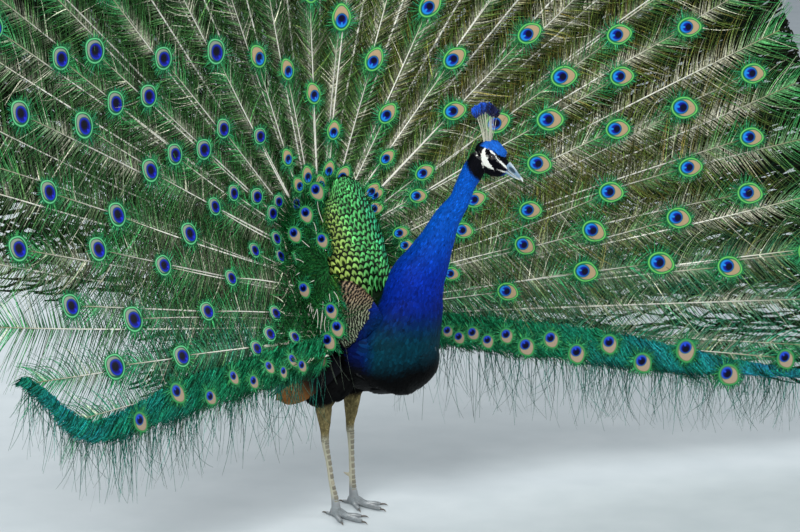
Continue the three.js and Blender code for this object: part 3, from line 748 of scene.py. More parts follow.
def vanes(roots, length, width, lift=0.1, cup=0.2, rows=4, columns=3, tip=0.25, blunt=0.55):
    """Vanes on roots, as a grid of points for each: a length along the lie of
    the coat, a half width that swells to `blunt` of the length and closes to
    `tip`, a rise that bends back down, and a cup across."""
    s = np.linspace(0, 1, rows)
    c = np.linspace(-1, 1, columns)
    outline = (0.45 + 0.55 * ease(s, 0, blunt)) \
        * np.sqrt(1 - (1 - tip**2) * np.clip((s - blunt) / (1 - blunt), 0, 1) ** 2)
    length = np.asarray(length * chance.uniform(0.85, 1.15, len(roots)))[:, None, None, None]
    width = np.asarray(width * chance.uniform(0.9, 1.1, len(roots)))[:, None, None, None] / 2
    s, c, outline = s[None, :, None, None], c[None, None, :, None], outline[None, :, None, None]
    lift = np.broadcast_to(lift * chance.uniform(0.6, 1.4, len(roots)),
                           len(roots))[:, None, None, None]
    along, out = roots.along[:, None, None], roots.out[:, None, None]
    across = np.cross(roots.along, roots.out)[:, None, None]
    return (roots.place[:, None, None] + along * length * s
            + out * (length * (lift * s * (1.6 - s) + 0.03) - cup * width * outline * c**2)
            + across * width * outline * c)


def sheets(name, grid, tint, unwrap, look, patch=UNWRAP_PATCH):
    """A piece of many equal sheets. grid[n, i, j] is the point of sheet n at
    row i from its root and column j across it, in millimetres. Its map Vane
    runs over each sheet, and OFBake sets each one down as a small patch."""
    n, rows, columns = grid.shape[:3]
    one = quads_of(rows, columns)
    quads = (one[None] + (np.arange(n) * rows * columns)[:, None, None]).reshape(-1, 4)
    mesh = mesh_from(name, STAND + grid.reshape(-1, 3) * MM, quads)
    if tint.ndim == 2:
        tint = np.broadcast_to(tint[:, None, None], grid.shape)
    colour_points(mesh, tint.reshape(-1, 3))
    across, along = np.meshgrid(np.linspace(0, 1, columns), np.linspace(0, 1, rows))
    vane = np.broadcast_to(np.stack([across, along], -1), (n, rows, columns, 2))
    spot = unwrap[:, None, None] + (vane - 0.5) * patch
    for label, place in (("Vane", vane), ("OFBake", spot)):
        layer = mesh.uv_layers.new(name=label)
        corners = place.reshape(-1, 2)[quads.ravel()].astype(np.float32)
        layer.uv.foreach_set("vector", corners.ravel())
    piece = new_piece(name, mesh, look)
    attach(piece, "root")
    return piece


barbing = bpy.data.node_groups.new("barbing", "ShaderNodeTree")
for label, kind, value in (("Tint", "NodeSocketColor", (1, 1, 1, 1)),
                           ("Barbs", "NodeSocketFloat", 14.0),
                           ("Contrast", "NodeSocketFloat", 0.3)):
    made = barbing.interface.new_socket(label, in_out="INPUT", socket_type=kind)
    made.default_value = value
for label, kind in (("Colour", "NodeSocketColor"), ("Height", "NodeSocketFloat")):
    barbing.interface.new_socket(label, in_out="OUTPUT", socket_type=kind)
entry = barbing.nodes.new("NodeGroupInput")
leave = barbing.nodes.new("NodeGroupOutput")
parts = node(barbing, "SeparateXYZ", socket(barbing, "UVMap", uv_map="Vane"))


def sum_of(operation, *values):
    """One step of arithmetic in the group."""
    return socket(barbing, "Math", *values, operation=operation)


away = sum_of("ABSOLUTE", sum_of("SUBTRACT", parts.outputs["X"], 0.5))
slant = sum_of("SUBTRACT", parts.outputs["Y"], away)
wave = sum_of("SINE", sum_of("MULTIPLY", slant, entry.outputs["Barbs"]))
half = socket(barbing, "MapRange", wave, From_Min=-1)
patches = socket(barbing, "TexNoise", here(barbing), Scale=90.0, Detail=3.0)
spread = socket(barbing, "MapRange", patches, From_Min=0.3, From_Max=0.7)
shade_range = socket(barbing, "MapRange", sum_of("MULTIPLY", spread, half),
                     To_Min=sum_of("SUBTRACT", 1.0, entry.outputs["Contrast"]))
barbing.links.new(blend(barbing, "MULTIPLY", 1.0, entry.outputs["Tint"], shade_range),
                  leave.inputs["Colour"])
barbing.links.new(half, leave.inputs["Height"])


def feather_look(name, barbs, contrast, relief=0.3, **settings):
    """A feather's material: its Tint, with barbs as fine slanting lines."""
    look, tree, shader = material(name, **settings)
    lines = tree.nodes.new("ShaderNodeGroup")
    lines.node_tree = barbing
    lines.inputs["Barbs"].default_value = barbs
    lines.inputs["Contrast"].default_value = contrast
    tree.links.new(tint_of(tree), lines.inputs["Tint"])
    paint(tree, shader, lines.outputs["Colour"], lines.outputs["Height"], Strength=relief,
          Distance=0.0004)
    return look, tree, shader, lines.outputs["Colour"]


def varied(colour, spread, number=1):
    """Colours made a little lighter or darker, one amount for each row. A
    single colour becomes a number of rows."""
    rows = np.repeat(np.atleast_2d(colour), number, axis=0)
    return rows * np.exp(chance.normal(0, spread, len(rows)))[:, None]


blue_look, *_ = feather_look("blue_feather", 40, 0.35, Roughness=0.45, Specular_IOR_Level=0.05,
                             Anisotropic=0.2)

crown_roots = Roots(skull, 52, 60, cell=(0, 3), span=(0.02, 0.93), covers=[neck])
crown_roots.along = -crown_roots.along
crown_roots.keep(face_bare(crown_roots.place) < 0.4)
both_eyes = in_head(EYE_PLACE[0], np.array([-1.0, 1.0]) * EYE_PLACE[1], EYE_PLACE[2])
apart = np.linalg.norm(crown_roots.place[:, None] - both_eyes, axis=-1).min(axis=1)
crown_roots.keep(apart > EYE_RADIUS + EYE_ROOM)
grid = vanes(crown_roots, crown_roots.tall * 2.6, crown_roots.wide * 1.9, lift=0.12)
sheets("head_feathers", grid, varied(markings(crown_roots.place), 0.16),
       crown_roots.unwrap, blue_look)

collar = Roots(neck, 144, 82, cell=(1, 5), covers=[skull, trunk, breast])
bosom = Roots(breast, 54, 84, cell=(2, 5), covers=[neck, trunk, back, *wings.values()])
chest = Roots(trunk, 50, 70, cell=(3, 5), covers=[neck, breast, back], span=(0.42, 1.0))
chest.along = -chest.along
groups = [collar, bosom, chest]
for wing in wings.values():
    bend = Roots(wing, 60, 50, cell=(4, 5), covers=[neck, breast, trunk, back], jitter=0.4)
    bend.keep(~shows_bars(bend.place))
    bend.along = unit(bend.along - 0.8 * UP)
    groups.append(bend)
NECK_FEATHERS = joined(groups)
size = np.sqrt(NECK_FEATHERS.tall * NECK_FEATHERS.wide)
grid = vanes(NECK_FEATHERS, size * 3.4, size * 2.1, lift=0.1)
sheets("neck_feathers", grid, varied(markings(NECK_FEATHERS.place), 0.24),
       NECK_FEATHERS.unwrap, blue_look)

sheets("eyelids", LID_GRID, LID_TINT, np.array([[0.3, 0.5], [0.7, 0.5]]), lid_look,
       patch=0.2)

# ---- Crest -----------------------------------------------------------------
# A fan of bare pale shafts stands on the crown. Each ends in a small rounded
# tuft of blue barbs that turns nearly black towards the front.
CREST_SHAFTS = 26
CREST_CREAM = tone("c9c8b4")
CREST_BLUE = tone("1560e0")
CREST_DARK = tone("070a3a")
CREST_TUFT = 20.0
crest_look, tree, shader = material("crest_feather", Roughness=0.45)
paint(tree, shader, tint_of(tree))
ahead = at(math.cos(HEAD_TURN - BODY_TURN), math.sin(HEAD_TURN - BODY_TURN), 0.0)
row = np.linspace(0, 1, CREST_SHAFTS)
sideways = chance.uniform(-1, 1, CREST_SHAFTS)
foot = (HEAD_CENTRE + ahead * (-15.5 + 15 * row)[:, None] + UP * 31
        + HEAD_LEFT * (3.5 * sideways)[:, None])
lean = np.radians(106 - 24 * row + chance.normal(0, 1.2, CREST_SHAFTS))
rise = unit(ahead * np.cos(lean)[:, None] + UP * np.sin(lean)[:, None]
            + HEAD_LEFT * (0.1 * sideways)[:, None])
tall = 71 - 9 * (2 * row - 1) ** 2 + chance.uniform(-4, 4, CREST_SHAFTS)
s = np.linspace(0, 1, 7)
spine = foot[:, None] + rise[:, None] * (tall[:, None] * s)[..., None] \
    + ahead * (2.0 * np.sin(math.pi * s))[:, None]
turn = np.linspace(0, 2 * math.pi, 5)
ring = ahead * np.cos(turn)[:, None] + HEAD_LEFT * np.sin(turn)[:, None]
grid = spine[:, :, None] + ring[None, None] * (0.55 - 0.25 * s)[None, :, None, None]
shaft_tone = varied(CREST_CREAM, 0.12, CREST_SHAFTS)
crest_spot = together(0.1 + 0.8 * row, 0.3)
sheets("crest_shafts", grid, shaft_tone, crest_spot, crest_look)

TUFT_BARBS = 64
t = np.linspace(0, 1, 5)
place = chance.random((CREST_SHAFTS, TUFT_BARBS))
flare = chance.uniform(-1, 1, (CREST_SHAFTS, TUFT_BARBS))
tip = foot + rise * tall[:, None]
start = tip[:, None] + rise[:, None] * ((place - 0.75) * CREST_TUFT * 0.7)[..., None]
bend = (0.9 * flare)[..., None] * (1.15 - 0.5 * t)
across = np.cross(rise, HEAD_LEFT)
run = (CREST_TUFT * (0.75 - 0.35 * place) * chance.uniform(0.7, 1.1, place.shape))[..., None] * t
path = (start[:, :, None] + rise[:, None, None] * (run * np.cos(bend))[..., None]
        + across[:, None, None] * (run * np.sin(bend) * 1.2)[..., None]
        + HEAD_LEFT * (run * 0.22 * chance.normal(0, 1, (*place.shape, 1)))[..., None])
path = path.reshape(-1, 5, 3)
heading = unit(np.gradient(path, axis=1))
side = unit(np.cross(heading, HEAD_LEFT + 0.4 * chance.normal(0, 1, (len(path), 1, 3))))
side = side * (0.95 * (1 - 0.6 * t))[None, :, None]
towards_front = np.repeat(row, TUFT_BARBS) + chance.normal(0, 0.16, len(path))
tuft_tone = mix(CREST_BLUE, CREST_DARK, ease(towards_front, 0.3, 0.75),
                CREST_DARK, 0.9 * ease(place.ravel(), 0.5, 0.0))
crest_tufts = sheets("crest_tufts", np.stack([path - side, path + side], axis=2),
                     varied(tuft_tone, 0.3), np.repeat(crest_spot + [0, 0.4], TUFT_BARBS, axis=0),
                     crest_look)
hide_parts("crest")

# ---- Belly, thighs and shanks ----------------------------------------------
# The belly and thighs are clad in soft black plumes, loose at their tips, and
# the shanks in short buff ones that end above the scaled leg.
soft_look, *_ = feather_look("soft_plume", 26, 0.45, Roughness=0.8, Specular_IOR_Level=0.1)
belly = Roots(trunk, 34, 46, cell=(0, 6), covers=[neck, back, *wings.values()], span=(0.05, 0.5))
belly.along = -belly.along
cladding = [belly]
for number, leg in enumerate(legs.values()):
    cladding.append(Roots(leg["thigh"], 30, 36, cell=(1 + number, 6), covers=[trunk]))
    shank = Roots(leg["shank"], 52, 30, cell=(3 + number, 6), covers=[trunk, leg["thigh"]],
                  span=(0, 0.9))
    cladding.append(shank)
BELLY_FEATHERS = joined(cladding)
size = np.sqrt(BELLY_FEATHERS.tall * BELLY_FEATHERS.wide)
fluff = ease(size, 2.0, 5.0)
grid = vanes(BELLY_FEATHERS, size * (3.0 + 0.8 * fluff), size * (1.7 + 0.3 * fluff),
             lift=0.12 + 0.14 * fluff, tip=0.12, rows=5)
sheets("belly_feathers", grid, varied(markings(BELLY_FEATHERS.place), 0.25),
       BELLY_FEATHERS.unwrap, soft_look)

# ---- Scutes and claws ------------------------------------------------------
# Plates of horn run down the front of each leg, a little apart, and overlap
# along the top of each toe, which ends in a blunt dark claw.
SCUTE_BROWN = tone("7c7766")
SCUTE_GREY = tone("7d8486")
CLAW_HORN = tone("4a433a")
CLAW_TIP = tone("8f8778")


def plates(limb, first, last, number, arc, lift, fill=1.16):
    """Curved plates over the front of a limb between two shares of its path,
    each rising towards its lower edge. A fill over 1 laps them, and one under
    it leaves the skin bare between them."""
    n, t, c = np.meshgrid(np.arange(number), np.linspace(0, 1, 5), np.linspace(-1, 1, 9),
                          indexing="ij")
    share = np.clip(first + (last - first) * (n + fill * t) / number, 0, 1)
    grow = 0.1 + lift * (0.25 + 0.75 * t**2) * (1 - 0.75 * c**4) - 0.9 * lift * (t > 0.9)
    points = limb.skin(share.ravel(), (math.pi / 2 + arc * c).ravel(), grow.reshape(-1, 1))
    return points.reshape(*share.shape, 3)


scutes, scute_tones, scute_spots = [], [], []
for number, limbs in enumerate(legs.values()):
    rows = [plates(limbs["tarsus"], 0.08, 0.94, 14, 1.2, 0.8, fill=0.7)]
    rows += [plates(limbs[toe], 0.16, 0.97, 4 + round(TOES[toe][1] / 9), 1.2, 0.6) for toe in TOES]
    scutes += rows
    for row_number, row_grid in enumerate(rows):
        base = SCUTE_BROWN if row_number == 0 else SCUTE_GREY
        scute_tones.append(varied(base, 0.14, len(row_grid)))
        scute_spots.append(together(np.linspace(0.08, 0.92, len(row_grid)),
                                    0.1 + 0.4 * number + 0.07 * row_number))
sheets("leg_scutes", np.concatenate(scutes), np.concatenate(scute_tones),
       np.concatenate(scute_spots), bill_look, patch=0.02)

horns = []
for leg in LEGS:
    for toe, (_, reach, thick) in TOES.items():
        place = toe_line(leg, toe)
        rest = thick * 0.5
        across = unit(np.cross(UP, place(1, 0) - place(0, 0)))
        horns.append(Limb([(place(reach - 1.5, rest), 2, 2.1),
                           (place(reach + CLAW * 0.4, rest + 0.8), 1.7, 1.9),
                           (place(reach + CLAW * 0.75, rest), 1.1, 1.3),
                           (place(reach + CLAW, 1.3), 0.4, 0.5)], across, 0).shell(16, 14))
horns = np.array(horns)
share = np.linspace(0, 1, horns.shape[1])[None, :, None]
colour = np.broadcast_to(mix(CLAW_HORN, CLAW_TIP, ease(share, 0.6, 1.0)), horns.shape)
claws = horn_piece("claws", horns, colour, bill_look)
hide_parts(*[f"claw_{leg}_{toe}" for leg in LEGS for toe in TOES])

# ---- Scaled back -----------------------------------------------------------
# Short stiff feathers overlap as scales up the back: a dark vane, a bright
# band inside its rim and a black edge, gold on the bird's right and turquoise
# on its left.
SCALE_GOLD = tone("b0c468")
SCALE_GREEN = tone("62cc7a")
SCALE_TURQUOISE = tone("3fb890")
scale_look, tree, shader, lines = feather_look(
    "scale_feather", 30, 0.25, relief=0.4, Roughness=0.35, Specular_IOR_Level=0.15)
centred = socket(tree, "Mapping", socket(tree, "UVMap", uv_map="Vane"),
                 Location=(-1.0, -0.86, 0), Scale=(2.0, 1.85, 1))
banding = ramp(tree, socket(tree, "VectorMath", centred, operation="LENGTH", take="Value"),
               (0.0, (0.02, 0.03, 0.015)), (0.34, (0.04, 0.06, 0.025)), (0.50, (0.9, 1.0, 0.8)),
               (0.60, (1.2, 1.25, 1.05)), (0.76, (1.0, 1.1, 0.9)), (0.84, (0.01, 0.02, 0.01)),
               (1.0, (0.005, 0.01, 0.005)))
paint(tree, shader, blend(tree, "MULTIPLY", 1.0, lines, banding))

SCALES = Roots(back, 23, 34, cell=(0, 1), covers=[neck, trunk, breast], jitter=0.15)
_, left, up = body_frame(SCALES.place)
colour = mix(SCALE_GOLD, SCALE_GREEN, ease(left, -75, -15),
             SCALE_TURQUOISE, ease(left, 15, 75), SCALE_GREEN, ease(up, 610, 700) * 0.6)
grid = vanes(SCALES, np.maximum(SCALES.tall, 5) * 2.4, np.maximum(SCALES.wide, 5) * 1.5, lift=0.16,
             cup=0.35, rows=6, columns=5, tip=0.3, blunt=0.62)
sheets("back_scales", grid, varied(colour, 0.25), SCALES.unwrap, scale_look,
       patch=0.013)

# ---- Wings -----------------------------------------------------------------
# The folded wings show barred shoulder feathers and coverts. The flight
# feathers droop below them to the rear, black at the root and chestnut beyond.
PRIMARIES = [(110, 98, 346, 3, 12), (60, 98, 322, 4, 27), (6, 94, 284, 4, 28),
             (-34, 88, 257, 3, 18), (-58, 84, 240, 2, 5)]
QUILLS_PER_WING = 9
BAR_PALE = tone("949f82")
BAR_BUFF = tone("9a8468")
CHESTNUT = tone("b4763c")
wing_look, tree, shader, lines = feather_look("barred_wing", 30, 0.3, Roughness=0.55,
                                              Specular_IOR_Level=0.15)
bars = socket(tree, "TexWave", socket(tree, "UVMap", uv_map="Vane"), take="Fac", wave_type="BANDS",
              bands_direction="Y", Scale=1.0, Distortion=2.6, Detail=2.0, Detail_Scale=2.5)
bar_ink = ramp(tree, bars, (0.5, (0.012, 0.012, 0.01)), (0.68, (1, 1, 1)))
paint(tree, shader, blend(tree, "MULTIPLY", 1.0, lines, bar_ink))

coverts = []
for number, wing in enumerate(wings.values()):
    covert = Roots(wing, 30, 34, cell=(number, 2), covers=[neck, trunk, back, breast], jitter=0.35)
    covert.keep(shows_bars(covert.place))
    coverts.append(covert)
COVERTS = joined(coverts)
colour = mix(BAR_PALE, BAR_BUFF, ease(body_frame(COVERTS.place)[2], 440, 490))
grid = vanes(COVERTS, np.maximum(COVERTS.tall, 8) * 2.3, np.maximum(COVERTS.wide, 8) * 1.5,
             lift=0.1, cup=0.25, rows=6, columns=5, tip=0.35, blunt=0.6)
sheets("wing_coverts", grid, varied(colour, 0.2), COVERTS.unwrap, wing_look,
       patch=0.012)

quill_look, *_ = feather_look("flight_feather", 160, 0.35, Roughness=0.6, Specular_IOR_Level=0.1)
blades, tints, spots = [], [], []
s = np.linspace(0, 1, 18)
across = np.linspace(-1, 1, 5)
half_width = 10.5 * np.sqrt(np.clip(1 - s**6, 0.02, 1)) * (0.6 + 0.4 * ease(s, 0, 0.3))
for side, *_ in LEGS.values():
    path = body_limb(mirrored(PRIMARIES, side), 0)
    for number in range(QUILLS_PER_WING):
        fall = number / (QUILLS_PER_WING - 1)
        centre, _, rise, _, size = path.ring(s * (0.86 + 0.14 * fall))
        spine = centre + rise * (size[:, 1:2] * (0.8 - 1.6 * fall)) \
            + LEFTWARD * side * (1.5 - 3.0 * fall)
        blades.append(spine[:, None] + rise[:, None] * (half_width[:, None] * across)[..., None]
                      - LEFTWARD * side * (1.4 * across**2)[None, :, None])
        blade = mix(INK, varied(CHESTNUT, 0.12), ease(s, 0.42, 0.62))
        tints.append(np.repeat(blade[:, None], 5, axis=1))
        spots.append((0.25 + 0.5 * (side > 0), 0.1 + 0.8 * fall))
flight_feathers = sheets("flight_feathers", np.array(blades),
                         np.array(tints), np.array(spots), quill_look, patch=0.05)
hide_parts("primaries_left", "primaries_right")

# ---- Down under the tail ---------------------------------------------------
# Loose greyish down fills the space behind the thighs and under the tail.
FLUFF = Roots(down, 40, 52, cell=(0, 2), covers=[trunk])
RUMP = Roots(trunk, 12, 44, cell=(1, 2), covers=[down, back], span=(0.0, 0.16))
RUMP.along = -RUMP.along
FLUFF = joined([FLUFF, RUMP])
grid = vanes(FLUFF, 24.0, 9.0, lift=0.35, tip=0.1, rows=5)
sheets("tail_down", grid, varied(DOWN_GREY, 0.3, len(FLUFF)),
       FLUFF.unwrap, soft_look)

# ---- Tail ------------------------------------------------------------------
# Twenty stiff brown feathers stand behind the train and prop it up, each with
# a pale shaft and two webs mottled with darker bars.
TRAIN_ROOT = np.array([0.0, 0.0, 550.0])
ROOT_LEFT = np.array([118.0, -5.0, 386.0])
ROOT_RIGHT = np.array([-62.0, -134.0, 368.0])
TAIL_ROOT = np.array([-14.0, 38.0, 524.0])
LOW_LEFT, LOW_RIGHT = -11.0, 184.0
FOLD = math.radians(14)
CREASE = 60.0
FAN_TOP, FAN_SIDE = 1265.0, 1130.0
FAN_BOW = 0.00003
TAIL_REACH = 430.0
TAIL_FEATHERS = 20
TAIL_BROWN = tone("6b5a45")


def tail_point(angle, reach):
    """A point of the tail's surface by the angle of a feather and its reach."""
    run = reach * np.cos(np.radians(angle))
    fold = np.hypot(run, CREASE) - CREASE
    return TAIL_ROOT + together(run * math.cos(FOLD), -0.8 * fold * math.sin(FOLD),
                                reach * np.sin(np.radians(angle)))


tail_look, tree, shader, lines = feather_look("tail_feather", 150, 0.35, Roughness=0.65)
stretch = socket(tree, "Mapping", here(tree), Scale=(40, 40, 90))
mottling = socket(tree, "TexNoise", stretch, Scale=1.0, Detail=5.0, Distortion=0.8)
dapple = ramp(tree, mottling, (0.42, (0.25, 0.22, 0.18)), (0.6, (1, 1, 1)))
paint(tree, shader, blend(tree, "MULTIPLY", 1.0, lines, dapple))

angle = np.linspace(-6, 186, TAIL_FEATHERS)
s = np.linspace(0, 1, 18)
c = np.linspace(-1, 1, 7)
half_width = (8 + 20 * ease(s, 0, 0.55)) * np.sqrt(np.clip(1 - s**5, 0.03, 1))
reach = 60 + (TAIL_REACH - 64) * s
spread = np.degrees(half_width[None, :, None] * c / reach[None, :, None])
full = angle[:, None, None] + spread
grid = tail_point(full, np.broadcast_to(reach[None, :, None], full.shape))
ripple = np.where(np.arange(TAIL_FEATHERS) % 2 == 0, 1.5, -1.5)[:, None, None]
grid[..., 1] += ripple + 2.0 * c**2
shafted = np.where(np.abs(c) < 0.1, 1.9, 1.0)[None, None, :, None]
colour = varied(TAIL_BROWN, 0.1, TAIL_FEATHERS)[:, None, None] * shafted
colour = np.broadcast_to(colour, grid.shape)
tail_feathers = sheets("tail_feathers", grid, colour,
                       together(0.1 + 0.8 * angle / 200, 0.5), tail_look, patch=0.035)
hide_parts("tail")

# ---- Train: the plan of the fan --------------------------------------------
# Nearly two hundred long feathers spring from the rump and open as a folded
# fan. Most end in an eye; the longest end in an open fork, and the lowest on
# each side are one-sided sword feathers.
COLUMNS = np.concatenate([3 + 6.1 * np.arange(6), 43 + 10.2 * np.arange(10),
                          141.5 + 5.6 * np.arange(7)])
EDGE_EYES = {"left": (-10.2, 188.0, 1.15, 13), "right": (182.5, 106.0, 1.235, 9)}
# between the eyes of a column, for those on the bird's left, middle and right
COLUMN_GAPS = (177.0, 238.0, 198.0)
FIRST_EYE = 165.0
TIP_ROOM = 45.0
INNER_EYES = 12
# angle and reach of the eyes nearest the back
INMOST_EYES = [(12, 104), (40, 96), (118, 92), (138, 108), (156, 88), (174, 112)]
FORKS = 38
EYE_LENGTH = 60.0
EYE_WIDTH = 49.0


def fan_point(angle, reach):
    """A point of the fan by the angle of the quill that it lies on and the
    reach along it: quills near the lower edges start at the flanks, and each
    half of the fan folds forward."""
    angle, reach = np.broadcast_arrays(angle, reach)
    root = mix(TRAIN_ROOT, ROOT_LEFT, ease(angle, 34, LOW_LEFT))
    root = mix(root, ROOT_RIGHT, ease(angle, 146, LOW_RIGHT))
    run = reach * np.cos(np.radians(angle))
    fold = np.hypot(run, CREASE) - CREASE
    return root + together(run * math.cos(FOLD), -fold * math.sin(FOLD) - FAN_BOW * reach**2,
                           reach * np.sin(np.radians(angle)))


def fan_axes(angle, reach):
    """At a point of the fan: outwards along the quill, round the fan, and out
    of its front."""
    outward = unit(fan_point(angle, reach + 1.0) - fan_point(angle, reach - 1.0))
    round_fan = unit(fan_point(angle + 0.05, reach) - fan_point(angle - 0.05, reach))
    front = unit(np.cross(outward, round_fan))
    return outward, np.cross(front, outward), front


def fan_reach(angle):
    """How far the feathers reach at an angle: longest at the top, cut back at
    the lower corner on the bird's right."""
    side = FAN_SIDE + (FAN_TOP - FAN_SIDE) * np.sin(np.radians(angle)) ** 2
    return side * (1 - 0.42 * ease(angle, 158, 190) - 0.05 * ease(angle, 2, LOW_LEFT))


def fan_unwrap(angle, reach):
    """Where a point lies on the fan laid flat, each way from 0 to 1."""
    return together(0.02 + 0.96 * (angle + 20) / 215, 0.02 + 0.96 * reach / 1400)


eye_angle, eye_reach = [], []
for number, column in enumerate(COLUMNS):
    gap = COLUMN_GAPS[int(column > 40) + int(column > 140)]
    first = FIRST_EYE + (0.33 * number + 0.1) % 1 * gap
    steps = np.arange(first, fan_reach(column) - TIP_ROOM, gap)
    eye_reach.append(steps + chance.uniform(-14, 14, len(steps)))
    eye_angle.append(column + chance.uniform(-1.2, 1.2, len(steps)))
eye_angle.append(np.linspace(4, 172, INNER_EYES) + chance.uniform(-4, 4, INNER_EYES))
eye_reach.append(150 + 32 * (np.arange(INNER_EYES) % 2) + chance.uniform(-8, 8, INNER_EYES))
inmost_angle, inmost_reach = np.array(INMOST_EYES, float).T
eye_angle.append(inmost_angle)
eye_reach.append(inmost_reach)
on_edge = np.zeros(sum(map(len, eye_angle)), bool)
for low_angle, first, growth, count in EDGE_EYES.values():
    eye_angle.append(low_angle + 1.5 * (-1.0) ** np.arange(count))
    eye_reach.append(first * growth ** np.arange(count))
    on_edge = np.concatenate([on_edge, np.ones(count, bool)])
EYE_ANGLE = np.concatenate(eye_angle)
EYE_REACH = np.concatenate(eye_reach)
EYES = len(EYE_ANGLE)
EYE_SIZE = (0.62 + 0.38 * ease(EYE_REACH, 130, 620)) * chance.uniform(0.92, 1.08, EYES)
fork_angle = np.linspace(LOW_LEFT + 4, LOW_RIGHT - 3, FORKS)
FORK_REACH = fan_reach(fork_angle) - 6
QUILL_ANGLE = np.concatenate([EYE_ANGLE, fork_angle])
QUILL_REACH = np.concatenate([EYE_REACH, FORK_REACH])
QUILLS = len(QUILL_ANGLE)
QUILL_BEND = chance.normal(0, 1.4, QUILLS) * (QUILL_ANGLE > 0) * (QUILL_ANGLE < 172)
# Short feathers lie in front of long ones, and forks at the very back.
QUILL_LAYER = 9 - 15 * QUILL_REACH / FAN_TOP + chance.uniform(-2, 2, QUILLS)
QUILL_START = 14.0


def quill_angle(which, reach):
    """The angle of a quill at a reach: it starts off its own line by its bend
    and comes onto it at the tip."""
    share = np.clip(reach / QUILL_REACH[which], 0, 1)
    return QUILL_ANGLE[which] + QUILL_BEND[which] * (1 - share) * (0.4 + share)


def ribbons(path, facing, half_width, stray=0.0):
    """Flat strips along paths: path[n, i] is point i of strip n, facing the
    way its flat side looks, half_width its half width there, and stray how
    far each strip turns from its facing by chance."""
    if stray:
        facing = facing + stray * chance.normal(0, 1, (len(path), 1, 3))
    heading = np.gradient(path, axis=1)
    across = unit(np.cross(heading, facing)) * half_width[..., None]
    return np.stack([path - across, path + across], axis=2)


# ---- Train: quills ---------------------------------------------------------
# A stiff cream quill carries each feather and tapers to its tip. It is a
# flattened tube of five faces.
QUILL_WIDE = 2.5
QUILL_CREAM = tone("f4f2e2")
QUILL_TIP = tone("8c8c5c")
quill_tube_look, tree, shader = material("cream_quill", Roughness=0.35, Coat_Weight=0.15)
streak = socket(tree, "TexNoise", here(tree), take="Color", Scale=420.0, Detail=2.0)
paint(tree, shader, blend(tree, "MULTIPLY", 0.35, tint_of(tree), streak))

which = np.arange(QUILLS)
s = np.linspace(0, 1, 22)
reach = QUILL_START + (QUILL_REACH[:, None] - QUILL_START) * s
angle = quill_angle(which[:, None], reach)
_, round_fan, front = fan_axes(angle, reach)
spine = fan_point(angle, reach) + front * (QUILL_LAYER[:, None, None] + 1.2)
thick = QUILL_WIDE * (0.35 + 0.65 * (1 - s) ** 0.7) * (0.6 + 0.4 * QUILL_REACH[:, None] / FAN_TOP)
turn = np.linspace(0, 2 * math.pi, 6)
grid = (spine[:, :, None]
        + round_fan[:, :, None] * (thick[..., None] * np.cos(turn))[..., None]
        - front[:, :, None] * (0.55 * thick[..., None] * np.sin(turn))[..., None])
quill_tone = mix(QUILL_CREAM, QUILL_TIP, ease(s, 0.75, 1.0))
colour = np.broadcast_to((varied(np.ones((QUILLS, 1)), 0.12)[:, None, None]
                          * quill_tone[None, :, None]), grid.shape)
sheets("train_quills", grid, colour, fan_unwrap(QUILL_ANGLE, QUILL_REACH * 0.5),
       quill_tube_look)

# ---- Train: barbs ----------------------------------------------------------
# Long loose barbs leave each quill on both sides, bronze and green with a painted highlight of pale
# gold at the quill, and sweep outwards. Nearer the eye they crowd and turn green, and towards the
# fan's lower edges they turn teal and hang.
BARB_SPACING = 4.3
BARB_LENGTH = 80.0
BARB_HALF = 0.8
BARB_STEPS = 6
BARB_START = 60
BARBS_PER_PIECE = 19000
# the solid panels of the train that the pieces of barbs stand for
PANELS = 12
OLIVE = tone("8aa446")
BRONZE = tone("b08a44")
DARK_GREEN = tone("12260f")
COOL_GREEN = tone("3fae62")
# PALE_GLINT is the colour of painted highlights on barbs
PALE_GLINT = tone("f6f2d6")
SEA_TEAL = tone("2aa583")
barb_look, tree, shader = material("train_barb", Roughness=0.45, Specular_IOR_Level=0.07)
glint = socket(tree, "TexNoise", here(tree), Scale=260.0, Detail=2.0)
lit = ramp(tree, glint, (0.38, (0.35, 0.35, 0.35)), (0.64, (1.0, 1.0, 1.0)))
paint(tree, shader, blend(tree, "MULTIPLY", 1.0, tint_of(tree), lit))

is_fork = which >= EYES
stop = QUILL_REACH - np.where(is_fork, 4, 0.42 * EYE_LENGTH * np.append(EYE_SIZE, np.ones(FORKS)))
count = np.maximum(((stop - BARB_START) / BARB_SPACING).astype(int), 6)
owner = np.repeat(which, count)
place = np.concatenate([np.linspace(1, 0, n, endpoint=False) for n in count])
owner, place = np.tile(owner, 2), np.tile(place, 2)
hand = np.repeat([1.0, -1.0], len(owner) // 2)
# Barbs stand closer together towards the tip, where the quills have parted.
start = (BARB_START + (stop[owner] - BARB_START) * place**0.75
         + chance.uniform(-2, 2, len(owner)))
near_tip = ease(QUILL_REACH[owner] - start, 150, 45)
base_angle = QUILL_ANGLE[owner]
low_edge = np.maximum(ease(base_angle, 14, -8), ease(base_angle, 164, 180))
length = BARB_LENGTH * chance.uniform(0.6, 1.2, len(owner)) * (
    0.4 + 0.6 * ease(start, 60, 420) + 0.35 * ease(start, 500, 1100))
length = length * (1 - 0.4 * near_tip * ~is_fork[owner])
lean = np.radians(52 - 20 * near_tip + chance.normal(0, 5, QUILLS)[owner]
                  + chance.normal(0, 2.5, len(owner)))
room = fan_reach(base_angle) + 46 - start
length = np.minimum(length, room / np.maximum(np.cos(lean - 0.3), 0.4))
t = np.linspace(0, 1, BARB_STEPS)
curl = chance.uniform(-0.1, 0.6, QUILLS)[owner] + chance.normal(0, 0.1, len(owner))
heading = lean[:, None] * (1 - curl[:, None] * t) + 0.1 * chance.normal(0, 1, (len(owner), 1)) * t
step = length[:, None] / (BARB_STEPS - 1)
